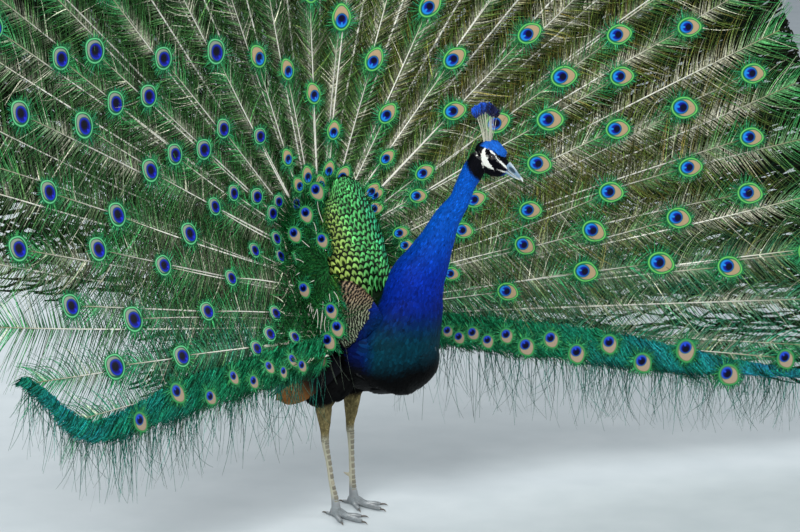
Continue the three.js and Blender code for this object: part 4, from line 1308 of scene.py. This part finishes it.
out_run = np.cumsum(np.cos(heading) * step, axis=1) - np.cos(heading[:, :1]) * step
side_run = np.cumsum(np.sin(heading) * step, axis=1) - np.sin(heading[:, :1]) * step
reach = start[:, None] + out_run
angle = quill_angle(owner, start)[:, None] + hand[:, None] * np.degrees(side_run / reach)
angle = LOW_LEFT - 2 + np.abs(angle - LOW_LEFT + 2)
_, round_fan, front = fan_axes(angle, reach)
flutter = chance.normal(0, 1.0, (len(owner), 1)) * 5 * t**1.5
path = fan_point(angle, reach) + front * (QUILL_LAYER[owner][:, None] + flutter)[..., None]
path[..., 2] -= (6 + 34 * low_edge[:, None]) * t**2 * chance.random((len(owner), 1))
roll = chance.normal(0, 0.5, (len(owner), 1, 1))
half_width = BARB_HALF * (1 - 0.7 * t**1.5) * chance.uniform(0.7, 1.35, (len(owner), 1))
half_width = half_width * (1 + 0.7 * ease(t, 0.3, 0.0))
grid = ribbons(path, front + round_fan * roll, half_width)

warm = ease(base_angle, 125, 40) * ease(reach[:, 0], 120, 420)
body = mix(COOL_GREEN, OLIVE, 0.25 + 0.6 * warm,
           BRONZE, chance.random(len(owner)) ** 1.5 * (0.2 + 0.6 * warm),
           DARK_GREEN, chance.random(len(owner)) ** 0.5)
body = body * (1 - 0.22 * ease(base_angle, 125, 165))[:, None]
body = varied(mix(body, COOL_GREEN, near_tip * 0.75,
                  SEA_TEAL, low_edge * chance.uniform(0.2, 0.8, len(owner)),
                  # painted highlights: a few barbs at random are painted pale
                  PALE_GLINT, (chance.random(len(owner)) < 0.06) * 0.6), 0.42)
# Some quills catch the light: a painted highlight of pale gold lies on the roots of their barbs,
# waxing and waning along each quill.
gleam = chance.random(QUILLS) ** 0.8 * (0.6 + 0.6 * ease(QUILL_ANGLE, 130, 60))
along = np.sin(start / chance.uniform(38, 60, QUILLS)[owner] + 6 * chance.random(QUILLS)[owner])
gleam = gleam[owner] * (0.7 + 0.3 * along) * (1 - 0.8 * near_tip) * (1 - 0.5 * low_edge)
pale = (ease(t, 0.34, 0.08)[None] * chance.uniform(0.3, 1.6, (len(owner), 1))
        * np.clip(gleam, 0.08, 1)[:, None])
pale = np.clip(pale, 0, 1)[..., None]
colour = body[:, None] * (1 - pale) + PALE_GLINT * pale
colour = np.repeat(colour[:, :, None], 2, axis=2)
order = np.argsort(angle[:, 0], kind="stable")
spot = fan_unwrap(angle[:, 0], reach[:, 0])
pieces = np.array_split(order, math.ceil(len(order) / BARBS_PER_PIECE))
for number, part in enumerate(pieces):
    barbs = sheets(f"train_barbs_{number + 1}", grid[part], colour[part],
                   spot[part], barb_look)
    first = PANELS * number // len(pieces)
    last = PANELS * (number + 1) // len(pieces)
    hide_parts(*[f"train_{panel + 1:02d}" for panel in range(first, last)])


def veering(base_angle, reach, veer, run, least, most=np.inf):
    """The angle and reach along strips that leave places of the fan outwards,
    veering off and stopping at a furthest reach, and their front."""
    reach = np.minimum(reach[:, None] + run * np.cos(veer), most)
    angle = base_angle[:, None] + np.degrees(run * np.sin(veer) / np.maximum(reach, least))
    return angle, reach, fan_axes(angle, reach)[2]


# Behind them lie the broad barbs of the under feathers, painted nearly black as painted shade deep
# in the fan. They are thinner towards the lower edges, where daylight comes through.
UNDER_BARBS = 13500
UNDER_CORNER = 1500
PAINTED_SHADE_TONES = (tone("0c1c08"), tone("171408"), tone("061a0e"), tone("1c2612"))
base_angle = chance.uniform(LOW_LEFT, LOW_RIGHT, UNDER_BARBS)
reach = np.sqrt(chance.random(UNDER_BARBS)) * (fan_reach(base_angle) - 60) + 40
daylight = np.maximum(ease(base_angle, 156, 170) * ease(reach, 280, 520),
                      0.7 * ease(base_angle, 6, -7))
kept = chance.random(UNDER_BARBS) > daylight
base_angle = np.concatenate([base_angle[kept],
                             chance.uniform(120, LOW_RIGHT + 14, UNDER_CORNER)])
reach = np.concatenate([reach[kept], chance.uniform(0, 130, UNDER_CORNER)])
number = len(reach)
t = np.linspace(0, 1, 5)
veer = chance.uniform(-0.75, 0.75, number)[:, None] * (1 - 0.5 * t)
run = (60 + 75 * ease(reach, 150, 900))[:, None] * t
angle, reach, front = veering(base_angle, reach, veer, run, 60,
                              fan_reach(base_angle)[:, None] + 20)
path = fan_point(angle, reach) - front * chance.uniform(9, 17, (number, 1, 1))
half_width = chance.uniform(2.4, 4.2, (number, 1)) * (1 - 0.6 * t**2)
grid = ribbons(path, front, half_width, 0.25)
# painted shade: these barbs, and those near the root on the bird's right, take nearly black tones
colour = varied(np.array(PAINTED_SHADE_TONES)[chance.integers(0, len(PAINTED_SHADE_TONES), number)], 0.25)
sheets("painted_shade_barbs", grid, colour, fan_unwrap(angle[:, 0], reach[:, 0]),
       barb_look)

# Short green feathers cover the feet of the quills beside the back.
ROOT_COVERS = 4200
COVER_GREEN = tone("2a8440")
COVER_DARK = tone("0a2412")
base_angle = chance.uniform(LOW_LEFT, LOW_RIGHT, ROOT_COVERS)
reach = 8 + 135 * chance.random(ROOT_COVERS) ** 0.8
t = np.linspace(0, 1, 5)
veer = chance.uniform(-0.7, 0.7, ROOT_COVERS)[:, None] * (1 - 0.4 * t)
run = chance.uniform(26, 44, ROOT_COVERS)[:, None] * t
angle, reach, front = veering(base_angle, reach, veer, run, 40)
path = fan_point(angle, reach) + front * (11 + 3 * chance.random((ROOT_COVERS, 1, 1)) * t[:, None])
grid = ribbons(path, front, 1.1 * (1 - 0.7 * t), 0.35)
# painted highlights: a few covers at random are painted pale
colour = mix(COVER_GREEN, COVER_DARK, chance.random(ROOT_COVERS) ** 0.6,
             PALE_GLINT, (chance.random(ROOT_COVERS) < 0.08) * 0.6)
sheets("root_covers", grid, varied(colour, 0.3),
       fan_unwrap(angle[:, 0], reach[:, 0]), barb_look)

# ---- Train: eyes -----------------------------------------------------------
# Each eye is a close flat web at the end of its quill: a green rim, a pale
# ring, a bronze field towards the tip, and a bright blue patch round a dark
# kidney towards the base. The lowest row on the bird's left is rounder.
EYE_CELLS = 13
RING_SHARE = 0.92
WEB_ROWS = 11
FRINGE_BARBS = 64
FRINGE_GREEN = tone("54c06a")
FRINGE_TEAL = tone("30a878")
FRINGE_DARK = tone("174a2a")
# the angle of the fan past which the eyes turn from golden to cool
COOL_FROM = 118
# place and size in rings: across, along and centre of the blue and the kidney
EYE_KINDS = {
    "golden": dict(rim="1f7a44", ring="74c860", mid="1c7a4c", field="b09874", deep="0d5a50",
                   blue="1f86dc", patch=(0.58, 0.50, -0.28), kidney=(0.50, 0.40, -0.20),
                   ink="0a1890", core="030524"),
    "cool": dict(rim="1a6a40", ring="6fd28c", mid="0f5a38", field="8a9484", deep="0c4c48",
                 blue="1a30d0", patch=(0.58, 0.62, -0.14), kidney=(0.52, 0.55, -0.11),
                 ink="0a0e78", core="020214"),
    "edge": dict(rim="1d7848", ring="3f9a50", mid="5c7c50", field="a8947c", deep="3a6a68",
                 blue="2048c8", patch=(0.56, 0.46, -0.32), kidney=(0.46, 0.37, -0.26),
                 ink="080a5a", core="030318"),
}


def eye_look(name, rim, ring, mid, field, deep, blue, patch, kidney, ink, core):
    """The web of an eye, painted in ellipses one over another on its map."""
    look, tree, shader = material(f"train_eye_{name}", Roughness=0.35, Specular_IOR_Level=0.15)
    flat = socket(tree, "UVMap", uv_map="Vane")
    ringed = RING_SHARE / 2

    def ellipse(across, along, centre):
        """How far out a point of the web lies, 1 on the ellipse's edge."""
        wide, tall = across * ringed, along * ringed
        fit = socket(tree, "Mapping", flat, Scale=(1 / wide, 1 / tall, 1),
                     Location=(-0.5 / wide, -(0.5 + centre * ringed) / tall, 0))
        return socket(tree, "VectorMath", fit, operation="LENGTH", take="Value")

    def over(below, distance, edge, code, soft):
        """Lays a colour over another wherever the distance is under the edge."""
        share = socket(tree, "MapRange", distance, interpolation_type="SMOOTHSTEP",
                       From_Min=edge + soft, From_Max=edge - soft)
        return blend(tree, "MIX", share, below, (*tone(code), 1))

    outer = ellipse(1, 1, 0)
    laid = over((*tone(rim), 1), outer, 1.0, ring, 0.04)
    laid = over(laid, outer, 0.90, mid, 0.05)
    laid = over(laid, ellipse(0.77, 0.76, 0.06), 1.0, field, 0.05)
    laid = over(laid, ellipse(patch[0] + 0.10, patch[1] + 0.10, patch[2] - 0.02), 1.0, deep, 0.08)
    laid = over(laid, ellipse(*patch), 1.0, blue, 0.10)
    laid = over(laid, ellipse(*kidney), 1.0, ink, 0.20)
    laid = over(laid, ellipse(0.72 * kidney[0], 0.66 * kidney[1], kidney[2] + 0.09), 1.0, core, 0.3)
    notch = kidney[2] - kidney[1]
    laid = over(laid, ellipse(0.11, 0.15, notch + 0.06), 1.0, blue, 0.3)
    streak = socket(tree, "TexNoise", here(tree), Scale=900.0, Detail=2.0)
    paint(tree, shader, blend(tree, "OVERLAY", 0.28, laid, streak))
    return look


outward, round_fan, front = fan_axes(EYE_ANGLE, EYE_REACH)
skew = np.interp(EYE_ANGLE, [0, 40, 70, 90, 115, 140, 160, 180],
                 [-30, -26, -10, 4, 12, -6, -22, -34])
skew = np.radians(skew + chance.normal(0, 7, EYES))[:, None]
long_way = outward * np.cos(skew) + round_fan * np.sin(skew)
# The eyes of the lowest rows hang with their tips down.
drooping = np.array([0.5, 0.0, -0.86]) + 0.12 * chance.normal(0, 1, (EYES, 3))
drooping = unit(drooping - front * (drooping * front).sum(-1, keepdims=True))
long_way = np.where(on_edge[:, None], drooping, long_way)
short_way = np.cross(front, long_way)
eye_centre = fan_point(EYE_ANGLE, EYE_REACH)
lift = QUILL_LAYER[:EYES] + np.where(on_edge, 16, 5.5)
half_long = EYE_LENGTH * EYE_SIZE / 2 / RING_SHARE
half_wide = EYE_WIDTH * EYE_SIZE / 2 / RING_SHARE * np.where(
    on_edge, np.where(EYE_ANGLE > 90, 0.72, 0.90), np.where(EYE_ANGLE > COOL_FROM, 0.95, 0.92))
half_long = half_long * np.where(on_edge, 0.84, np.where(EYE_ANGLE > COOL_FROM, 0.88, 1.0))
b, a = np.meshgrid(np.linspace(-1, 1, WEB_ROWS), np.linspace(-1, 1, WEB_ROWS))
x = a * np.sqrt(1 - b**2 / 2)
y = b * np.sqrt(1 - a**2 / 2)
x = x * (1 - 0.22 * ease(y, 0.0, 1.0))
disc = np.stack([0.5 + 0.5 * a * np.sqrt(1 - b**2 / 2), 0.5 + 0.5 * y], -1)
kinds = {"golden": ~on_edge & (EYE_ANGLE < COOL_FROM),
         "cool": ~on_edge & (EYE_ANGLE >= COOL_FROM), "edge": on_edge}


def eye_webs(name, look, centre, long_way, short_way, front, half_long, half_wide, lift):
    """Round webs on a square grid drawn in to a disc, slightly domed. Each
    one has a cell of its own in OFBake."""
    number = len(centre)
    dome = lift[:, None, None] + 1.6 * (1 - x**2 - y**2)
    grid = (centre[:, None, None]
            + long_way[:, None, None] * (half_long[:, None, None] * y)[..., None]
            + short_way[:, None, None] * (half_wide[:, None, None] * x)[..., None]
            + front[:, None, None] * dome[..., None])
    cells = np.arange(number)
    cell = together(cells % EYE_CELLS, cells // EYE_CELLS) + 0.5
    webs = sheets(name, grid, np.ones((number, 3)), cell / EYE_CELLS, look,
                  patch=0.9 / EYE_CELLS)
    quads = (quads_of(WEB_ROWS, WEB_ROWS)[None] + (cells * WEB_ROWS**2)[:, None, None]).ravel()
    spots = (cell[:, None, None] + (disc - 0.5) * 0.9) / EYE_CELLS
    for label, place in (("Vane", np.broadcast_to(disc, spots.shape)), ("OFBake", spots)):
        corners = place.reshape(-1, 2)[quads].astype(np.float32)
        webs.data.uv_layers[label].uv.foreach_set("vector", corners.ravel())


def eye_fringe(name, number, centre, long_way, short_way, front, half_long, half_wide, lift):
    """Short bright barbs that stand round each eye, longer towards its base."""
    many = len(centre)
    turn = np.linspace(0, 2 * math.pi, number, endpoint=False)[None] + chance.uniform(
        -0.05, 0.05, (many, number))
    t = np.linspace(0, 1, 5)
    behind = ease(-np.cos(turn), -0.5, 1.0)
    long_barb = (0.36 + 0.5 * behind) * half_long[:, None] * chance.uniform(0.7, 1.3, turn.shape)
    bend = 0.75 * np.sin(turn) * behind
    px = np.sin(turn)[..., None] * 0.9 * half_wide[:, None, None] \
        + long_barb[..., None] * t * np.sin(turn - bend)[..., None]
    py = np.cos(turn)[..., None] * 0.9 * half_long[:, None, None] \
        + long_barb[..., None] * t * np.cos(turn - bend)[..., None]
    high = lift[:, None, None] - 0.8 + 1.5 * chance.normal(0, 1, (many, number, 1)) * t
    path = (centre[:, None, None] + long_way[:, None, None] * py[..., None]
            + short_way[:, None, None] * px[..., None] + front[:, None, None] * high[..., None])
    path = path.reshape(-1, 5, 3)
    strips = ribbons(path, np.repeat(front, number, axis=0)[:, None], 1.2 * (1 - 0.8 * t), 0.3)
    fringe_tone = varied(mix(FRINGE_GREEN, FRINGE_TEAL, chance.random(len(path)),
                             FRINGE_DARK, chance.random(len(path)) ** 1.5), 0.18)
    spots = np.repeat(fan_unwrap(EYE_ANGLE[:1], EYE_REACH[:1]), len(path), axis=0)
    spots = spots + together(np.repeat(np.arange(many) / (2.5 * many), number), turn.ravel() / 12)
    sheets(name, strips, fringe_tone, np.clip(spots, 0.01, 0.99), barb_look)


eyes = (eye_centre, long_way, short_way, front, half_long, half_wide, lift)
for kind, chosen in kinds.items():
    eye_webs(f"train_eyes_{kind}", eye_look(kind, **EYE_KINDS[kind]),
             *[measure[chosen] for measure in eyes])
eye_fringe("eye_fringe", FRINGE_BARBS, *eyes)

# ---- Train: sword feathers and hanging barbs -------------------------------
# Along both lower edges the barbs of the sword feathers lie close as a bright
# green band behind the lowest row of eyes, turning teal and blue outwards, and
# long loose barbs hang below it.
SWORDS = {"left": (LOW_LEFT, 50.0, 1100.0, 7000), "right": (LOW_RIGHT, 20.0, 880.0, 5600)}
SWORD_GREEN = tone("26a46a")
SWORD_TEAL = tone("16b89a")
SWORD_BLUE = tone("3392c8")
SWORD_DARK = tone("0a3a22")
SWORD_RIM = 42.0
SWORD_STEPS = 6


def sword_rise(side, reach):
    """How much the longest sword feathers curl up on the bird's right."""
    return 150 * ease(reach, 620, 900) ** 1.4 * (side == "right")


grids, tones, spots = [], [], []
t = np.linspace(0, 1, SWORD_STEPS)
for side, (low_angle, nearest, farthest, number) in SWORDS.items():
    away = 1.0 if side == "left" else -1.0
    share = np.sort(chance.random(number))
    row = chance.random(number)
    reach = nearest + (farthest - nearest) * share
    run = 46 * chance.uniform(0.6, 1.3, number) * (1 - 0.5 * ease(share, 0.7, 1))
    drop = np.radians(58 + 12 * chance.normal(0, 1, number))[:, None] * (1 - 0.35 * t)
    step = run[:, None] / (SWORD_STEPS - 1)
    out_run = np.cumsum(np.cos(drop) * step, axis=1)
    above = 54 * row * (1 - 0.85 * ease(share, 0.4, 0.95))
    fall = np.cumsum(np.sin(drop) * step, axis=1) - above[:, None]
    rim = SWORD_RIM * (1 - 0.85 * ease(share, 0.55, 1))
    rim = rim * (0.78 + 0.14 * np.sin(31 * share) + 0.1 * np.sin(74 * share + 2))
    fall = np.minimum(fall, (rim + chance.normal(0, 3.5, number))[:, None] + 3 * t)
    top = fan_point(np.full((number, 1), low_angle + 1.0 * away), reach[:, None] + out_run)
    top[..., 2] += sword_rise(side, reach)[:, None]
    _, _, front = fan_axes(np.full(number, low_angle), reach)
    path = top + front[:, None] * (4 + 8 * chance.random((number, 1, 1)))
    path[..., 2] -= fall
    patchy = 0.5 + 0.5 * np.sin(9 * share + 4 * row) * np.cos(31 * share + 1)
    bluish = ease(share, 0.25, 0.9) * patchy * (1.0 if side == "left" else 0.5)
    body = mix(SWORD_GREEN, SWORD_TEAL, ease(share, 0.2, 0.8) * (0.4 + 0.6 * patchy),
               SWORD_BLUE, np.clip(bluish, 0, 0.85), SWORD_DARK, chance.random(number) ** 1.6)
    # painted shade: barbs that hang further below the band are darkened
    body = varied(body, 0.2)[:, None] * (1 - 0.6 * ease(fall, 22, 34))[..., None]
    grids.append(ribbons(path, front[:, None], 1.15 * (1 - 0.8 * t**2), 0.35))
    tones.append(np.repeat(body[:, :, None], 2, axis=2))
    spots.append(fan_unwrap(np.full(number, low_angle) + 4 * row, reach))
sword_webs = sheets("sword_webs", np.concatenate(grids),
                    np.concatenate(tones), np.concatenate(spots), barb_look)
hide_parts("train_edge_left", "train_edge_right")

HANGING = {"left": 640, "right": 430}
HANGING_DARK = tone("174c38")
HANGING_TEAL = tone("2a8070")
paths, tones, spots = [], [], []
t = np.linspace(0, 1, 10)
for side, (low_angle, nearest, farthest, _) in SWORDS.items():
    number = HANGING[side]
    share = chance.random(number) ** 0.85
    reach = nearest + (farthest - nearest) * share
    top = fan_point(np.full(number, low_angle), reach)
    top[:, 2] += sword_rise(side, reach)
    long_barb = chance.uniform(50, 185, number) * (1 - 0.3 * share)
    sway = chance.normal(0, 0.2, (number, 1)) + 0.22 * chance.normal(0, 1, (number, 1)) * t
    outward, _, front = fan_axes(np.full(number, low_angle), reach)
    path = top[:, None] + outward[:, None] * (np.sin(sway) * t * long_barb[:, None])[..., None] \
        + front[:, None] * (4 + 9 * chance.normal(0, 1, (number, 1)) * t**2)[..., None]
    below = 22 * (1 - 0.9 * ease(share, 0.55, 0.95))
    path[..., 2] -= below[:, None] + np.cos(sway) * t * long_barb[:, None]
    paths.append(path)
    tones.append(varied(mix(HANGING_DARK, HANGING_TEAL, chance.random(number)), 0.3))
    spots.append(fan_unwrap(np.full(number, low_angle), reach))
grid = ribbons(np.concatenate(paths), np.array([0.0, -1.0, 0.0]), 0.75 * (1 - 0.7 * t), 0.6)
sheets("hanging_barbs", grid, np.concatenate(tones), np.concatenate(spots),
       barb_look)

# ---- Train: short feathers over the flanks ---------------------------------
# The train's shortest feathers spill from beside the back over each wing, with
# pale quills, close bright green webs and small round eyes.
FLANK_ROOT = np.array([88.0, 552.0])
FLANK_BARB = 25.0
FLANK_SPACING = 2.1
FLANK_COVERS = 2600
FLANK_STEPS = 5
FLANK_FRINGE = 30
FLANK_LIFT = 2.5
FLANK_GREEN = tone("2a8a44")
FLANK_OLIVE = tone("5a9c38")
FLANK_DARK = tone("0c2c14")
FLANK_TEAL = tone("1fa878")
# forward and up of each small eye, and then of the feathers without one
FLANK_EYES = [(107, 462), (121, 426), (99, 396), (55, 391), (75, 358), (43, 345), (6, 334),
              (-39, 331), (-64, 308), (-1, 450), (40, 500), (-25, 520), (12, 388), (-48, 400),
              (72, 604), (32, 655), (58, 706), (4, 610), (-14, 556)]
FLANK_PLAIN = [(122, 470), (128, 410), (80, 430), (30, 420), (112, 376), (24, 365), (-20, 356)]


def flank_point(side, forward, up, layer):
    """A place over a wing, near its outer face and drawn in at the top."""
    return at(forward, side * (114 + layer - 24 * ease(up, 480, 590)), up)


quills, barb_paths, barb_tones = [], [], []
flank_centres, flank_sides, flank_sizes = [], [], []
t = np.linspace(0, 1, FLANK_STEPS)
s = np.linspace(0, 1, 10)
for side in (-1, 1):
    for number, tip in enumerate(FLANK_EYES + FLANK_PLAIN):
        far = math.dist(tip, FLANK_ROOT)
        eyed = number < len(FLANK_EYES)
        layer = 9 - 0.025 * far + 2.0 * eyed
        run = (np.array(tip) - FLANK_ROOT) / far
        over = np.array([-run[1], run[0]])
        bow = 0.06 * far * math.sin(2.4 * number)
        drawn_from = min(92, 0.6 * far)
        reach = drawn_from + (far - drawn_from) * s
        spine = (FLANK_ROOT + reach[:, None] * run
                 + (bow * np.sin(math.pi * s))[:, None] * over)
        centre = flank_point(side, spine[:, 0], spine[:, 1], layer + 3.5)
        width = at(run[1], 0, -run[0])
        thick = (0.8 * (1 - 0.5 * s))[:, None, None]
        turn = np.linspace(0, 2 * math.pi, 5)[None, :, None]
        quills.append(centre[:, None] + thick * (width * np.cos(turn)
                                                 + LEFTWARD * side * 0.6 * np.sin(turn)))
        count = int((far - 18) / FLANK_SPACING)
        place = np.tile(np.linspace(16, far - 6, count), 2)
        hand = np.repeat([1.0, -1.0], count)
        long_barb = FLANK_BARB * chance.uniform(0.6, 1.2, len(place))[:, None]
        lean = (0.9 + 0.15 * chance.normal(0, 1, len(place)))[:, None] * (1 - 0.4 * t)
        forth = place[:, None] + np.cumsum(np.cos(lean), 1) * long_barb / FLANK_STEPS
        across = hand[:, None] * np.cumsum(np.sin(lean), 1) * long_barb / FLANK_STEPS \
            + bow * np.sin(math.pi * place / far)[:, None]
        spot = FLANK_ROOT + forth[..., None] * run + across[..., None] * over
        wave = layer + 2.5 * chance.normal(0, 1, (len(place), 1)) * t
        barb_paths.append(flank_point(side, spot[..., 0], spot[..., 1], wave))
        body = mix(FLANK_GREEN, FLANK_OLIVE, chance.random(len(place)),
                   FLANK_DARK, chance.random(len(place)) ** 0.7,
                   FLANK_TEAL, 0.6 * ease(place, far - 70, far - 10))
        barb_tones.append(varied(body, 0.22))
        if eyed:
            flank_centres.append(centre[-1])
            flank_sides.append([side])
            flank_sizes.append(0.50 + 0.0010 * far)
grid = np.array(quills)
colour = varied(QUILL_CREAM, 0.1, len(grid))
sheets("flank_quills", grid, colour,
       together(np.linspace(0.05, 0.95, len(grid)), 0.2), quill_tube_look)
for side in (-1, 1):
    angle = np.radians(chance.uniform(120, 282, FLANK_COVERS))[:, None]
    reach = (125 * chance.random((FLANK_COVERS, 1)) ** 0.7
             + chance.uniform(16, 30, (FLANK_COVERS, 1)) * t)
    angle = angle + chance.normal(0, 0.35, (FLANK_COVERS, 1)) * t
    barb_paths.append(flank_point(side, FLANK_ROOT[0] + reach * np.cos(angle),
                                  FLANK_ROOT[1] + reach * np.sin(angle),
                                  10 - 0.03 * reach + 3 * chance.random((FLANK_COVERS, 1)) * t))
    body = mix(COVER_GREEN, COVER_DARK, chance.random(FLANK_COVERS) ** 0.6)
    barb_tones.append(varied(body, 0.25))
path = np.concatenate(barb_paths)
face = LEFTWARD * np.sign(body_frame(path)[1])[..., None]
grid = ribbons(path, face, 0.95 * (1 - 0.75 * t), 0.35)
forward, left, up = body_frame(path[:, 0])
spots = together(0.25 + 0.5 * (left > 0) + forward / 1600, 0.2 + up / 1000)
sheets("flank_barbs", grid, np.concatenate(barb_tones), np.clip(spots, 0.01, 0.99),
       barb_look)
centre = np.array(flank_centres)
front = LEFTWARD * np.array(flank_sides, float)
long_way = unit(at(0.5, 0, -0.86) + 0.15 * chance.normal(0, 1, centre.shape))
long_way = unit(long_way - front * (long_way * front).sum(-1, keepdims=True))
short_way = np.cross(front, long_way)
half_long = EYE_LENGTH * np.array(flank_sizes) / 2 / RING_SHARE
eyes = (centre, long_way, short_way, front, half_long, 0.9 * half_long,
        np.full(len(centre), FLANK_LIFT))
eye_webs("flank_eyes", bpy.data.materials["train_eye_edge"], *eyes)
eye_fringe("flank_fringe", FLANK_FRINGE, *eyes)

# A few thin filaments hang from them over the black belly.
STRANDS = 16
STRAND_GREY = tone("6e7c6c")
side = np.repeat([-1.0, 1.0], STRANDS // 2)
t = np.linspace(0, 1, 9)
forward = chance.uniform(55, 140, STRANDS)
sway = chance.normal(0.25, 0.18, (STRANDS, 1)) * t
path = at(forward[:, None] + 90 * sway, side[:, None] * (118 + 4 * np.sin(3 * t)),
          (392 - 0.2 * (165 - forward))[:, None] - chance.uniform(60, 105, (STRANDS, 1)) * t)
grid = ribbons(path, LEFTWARD * side[:, None, None], 0.45 * (1 - 0.6 * t), 0.3)
sheets("flank_strands", grid, varied(STRAND_GREY, 0.2, STRANDS),
       together(np.linspace(0.1, 0.9, STRANDS), 0.1), barb_look)
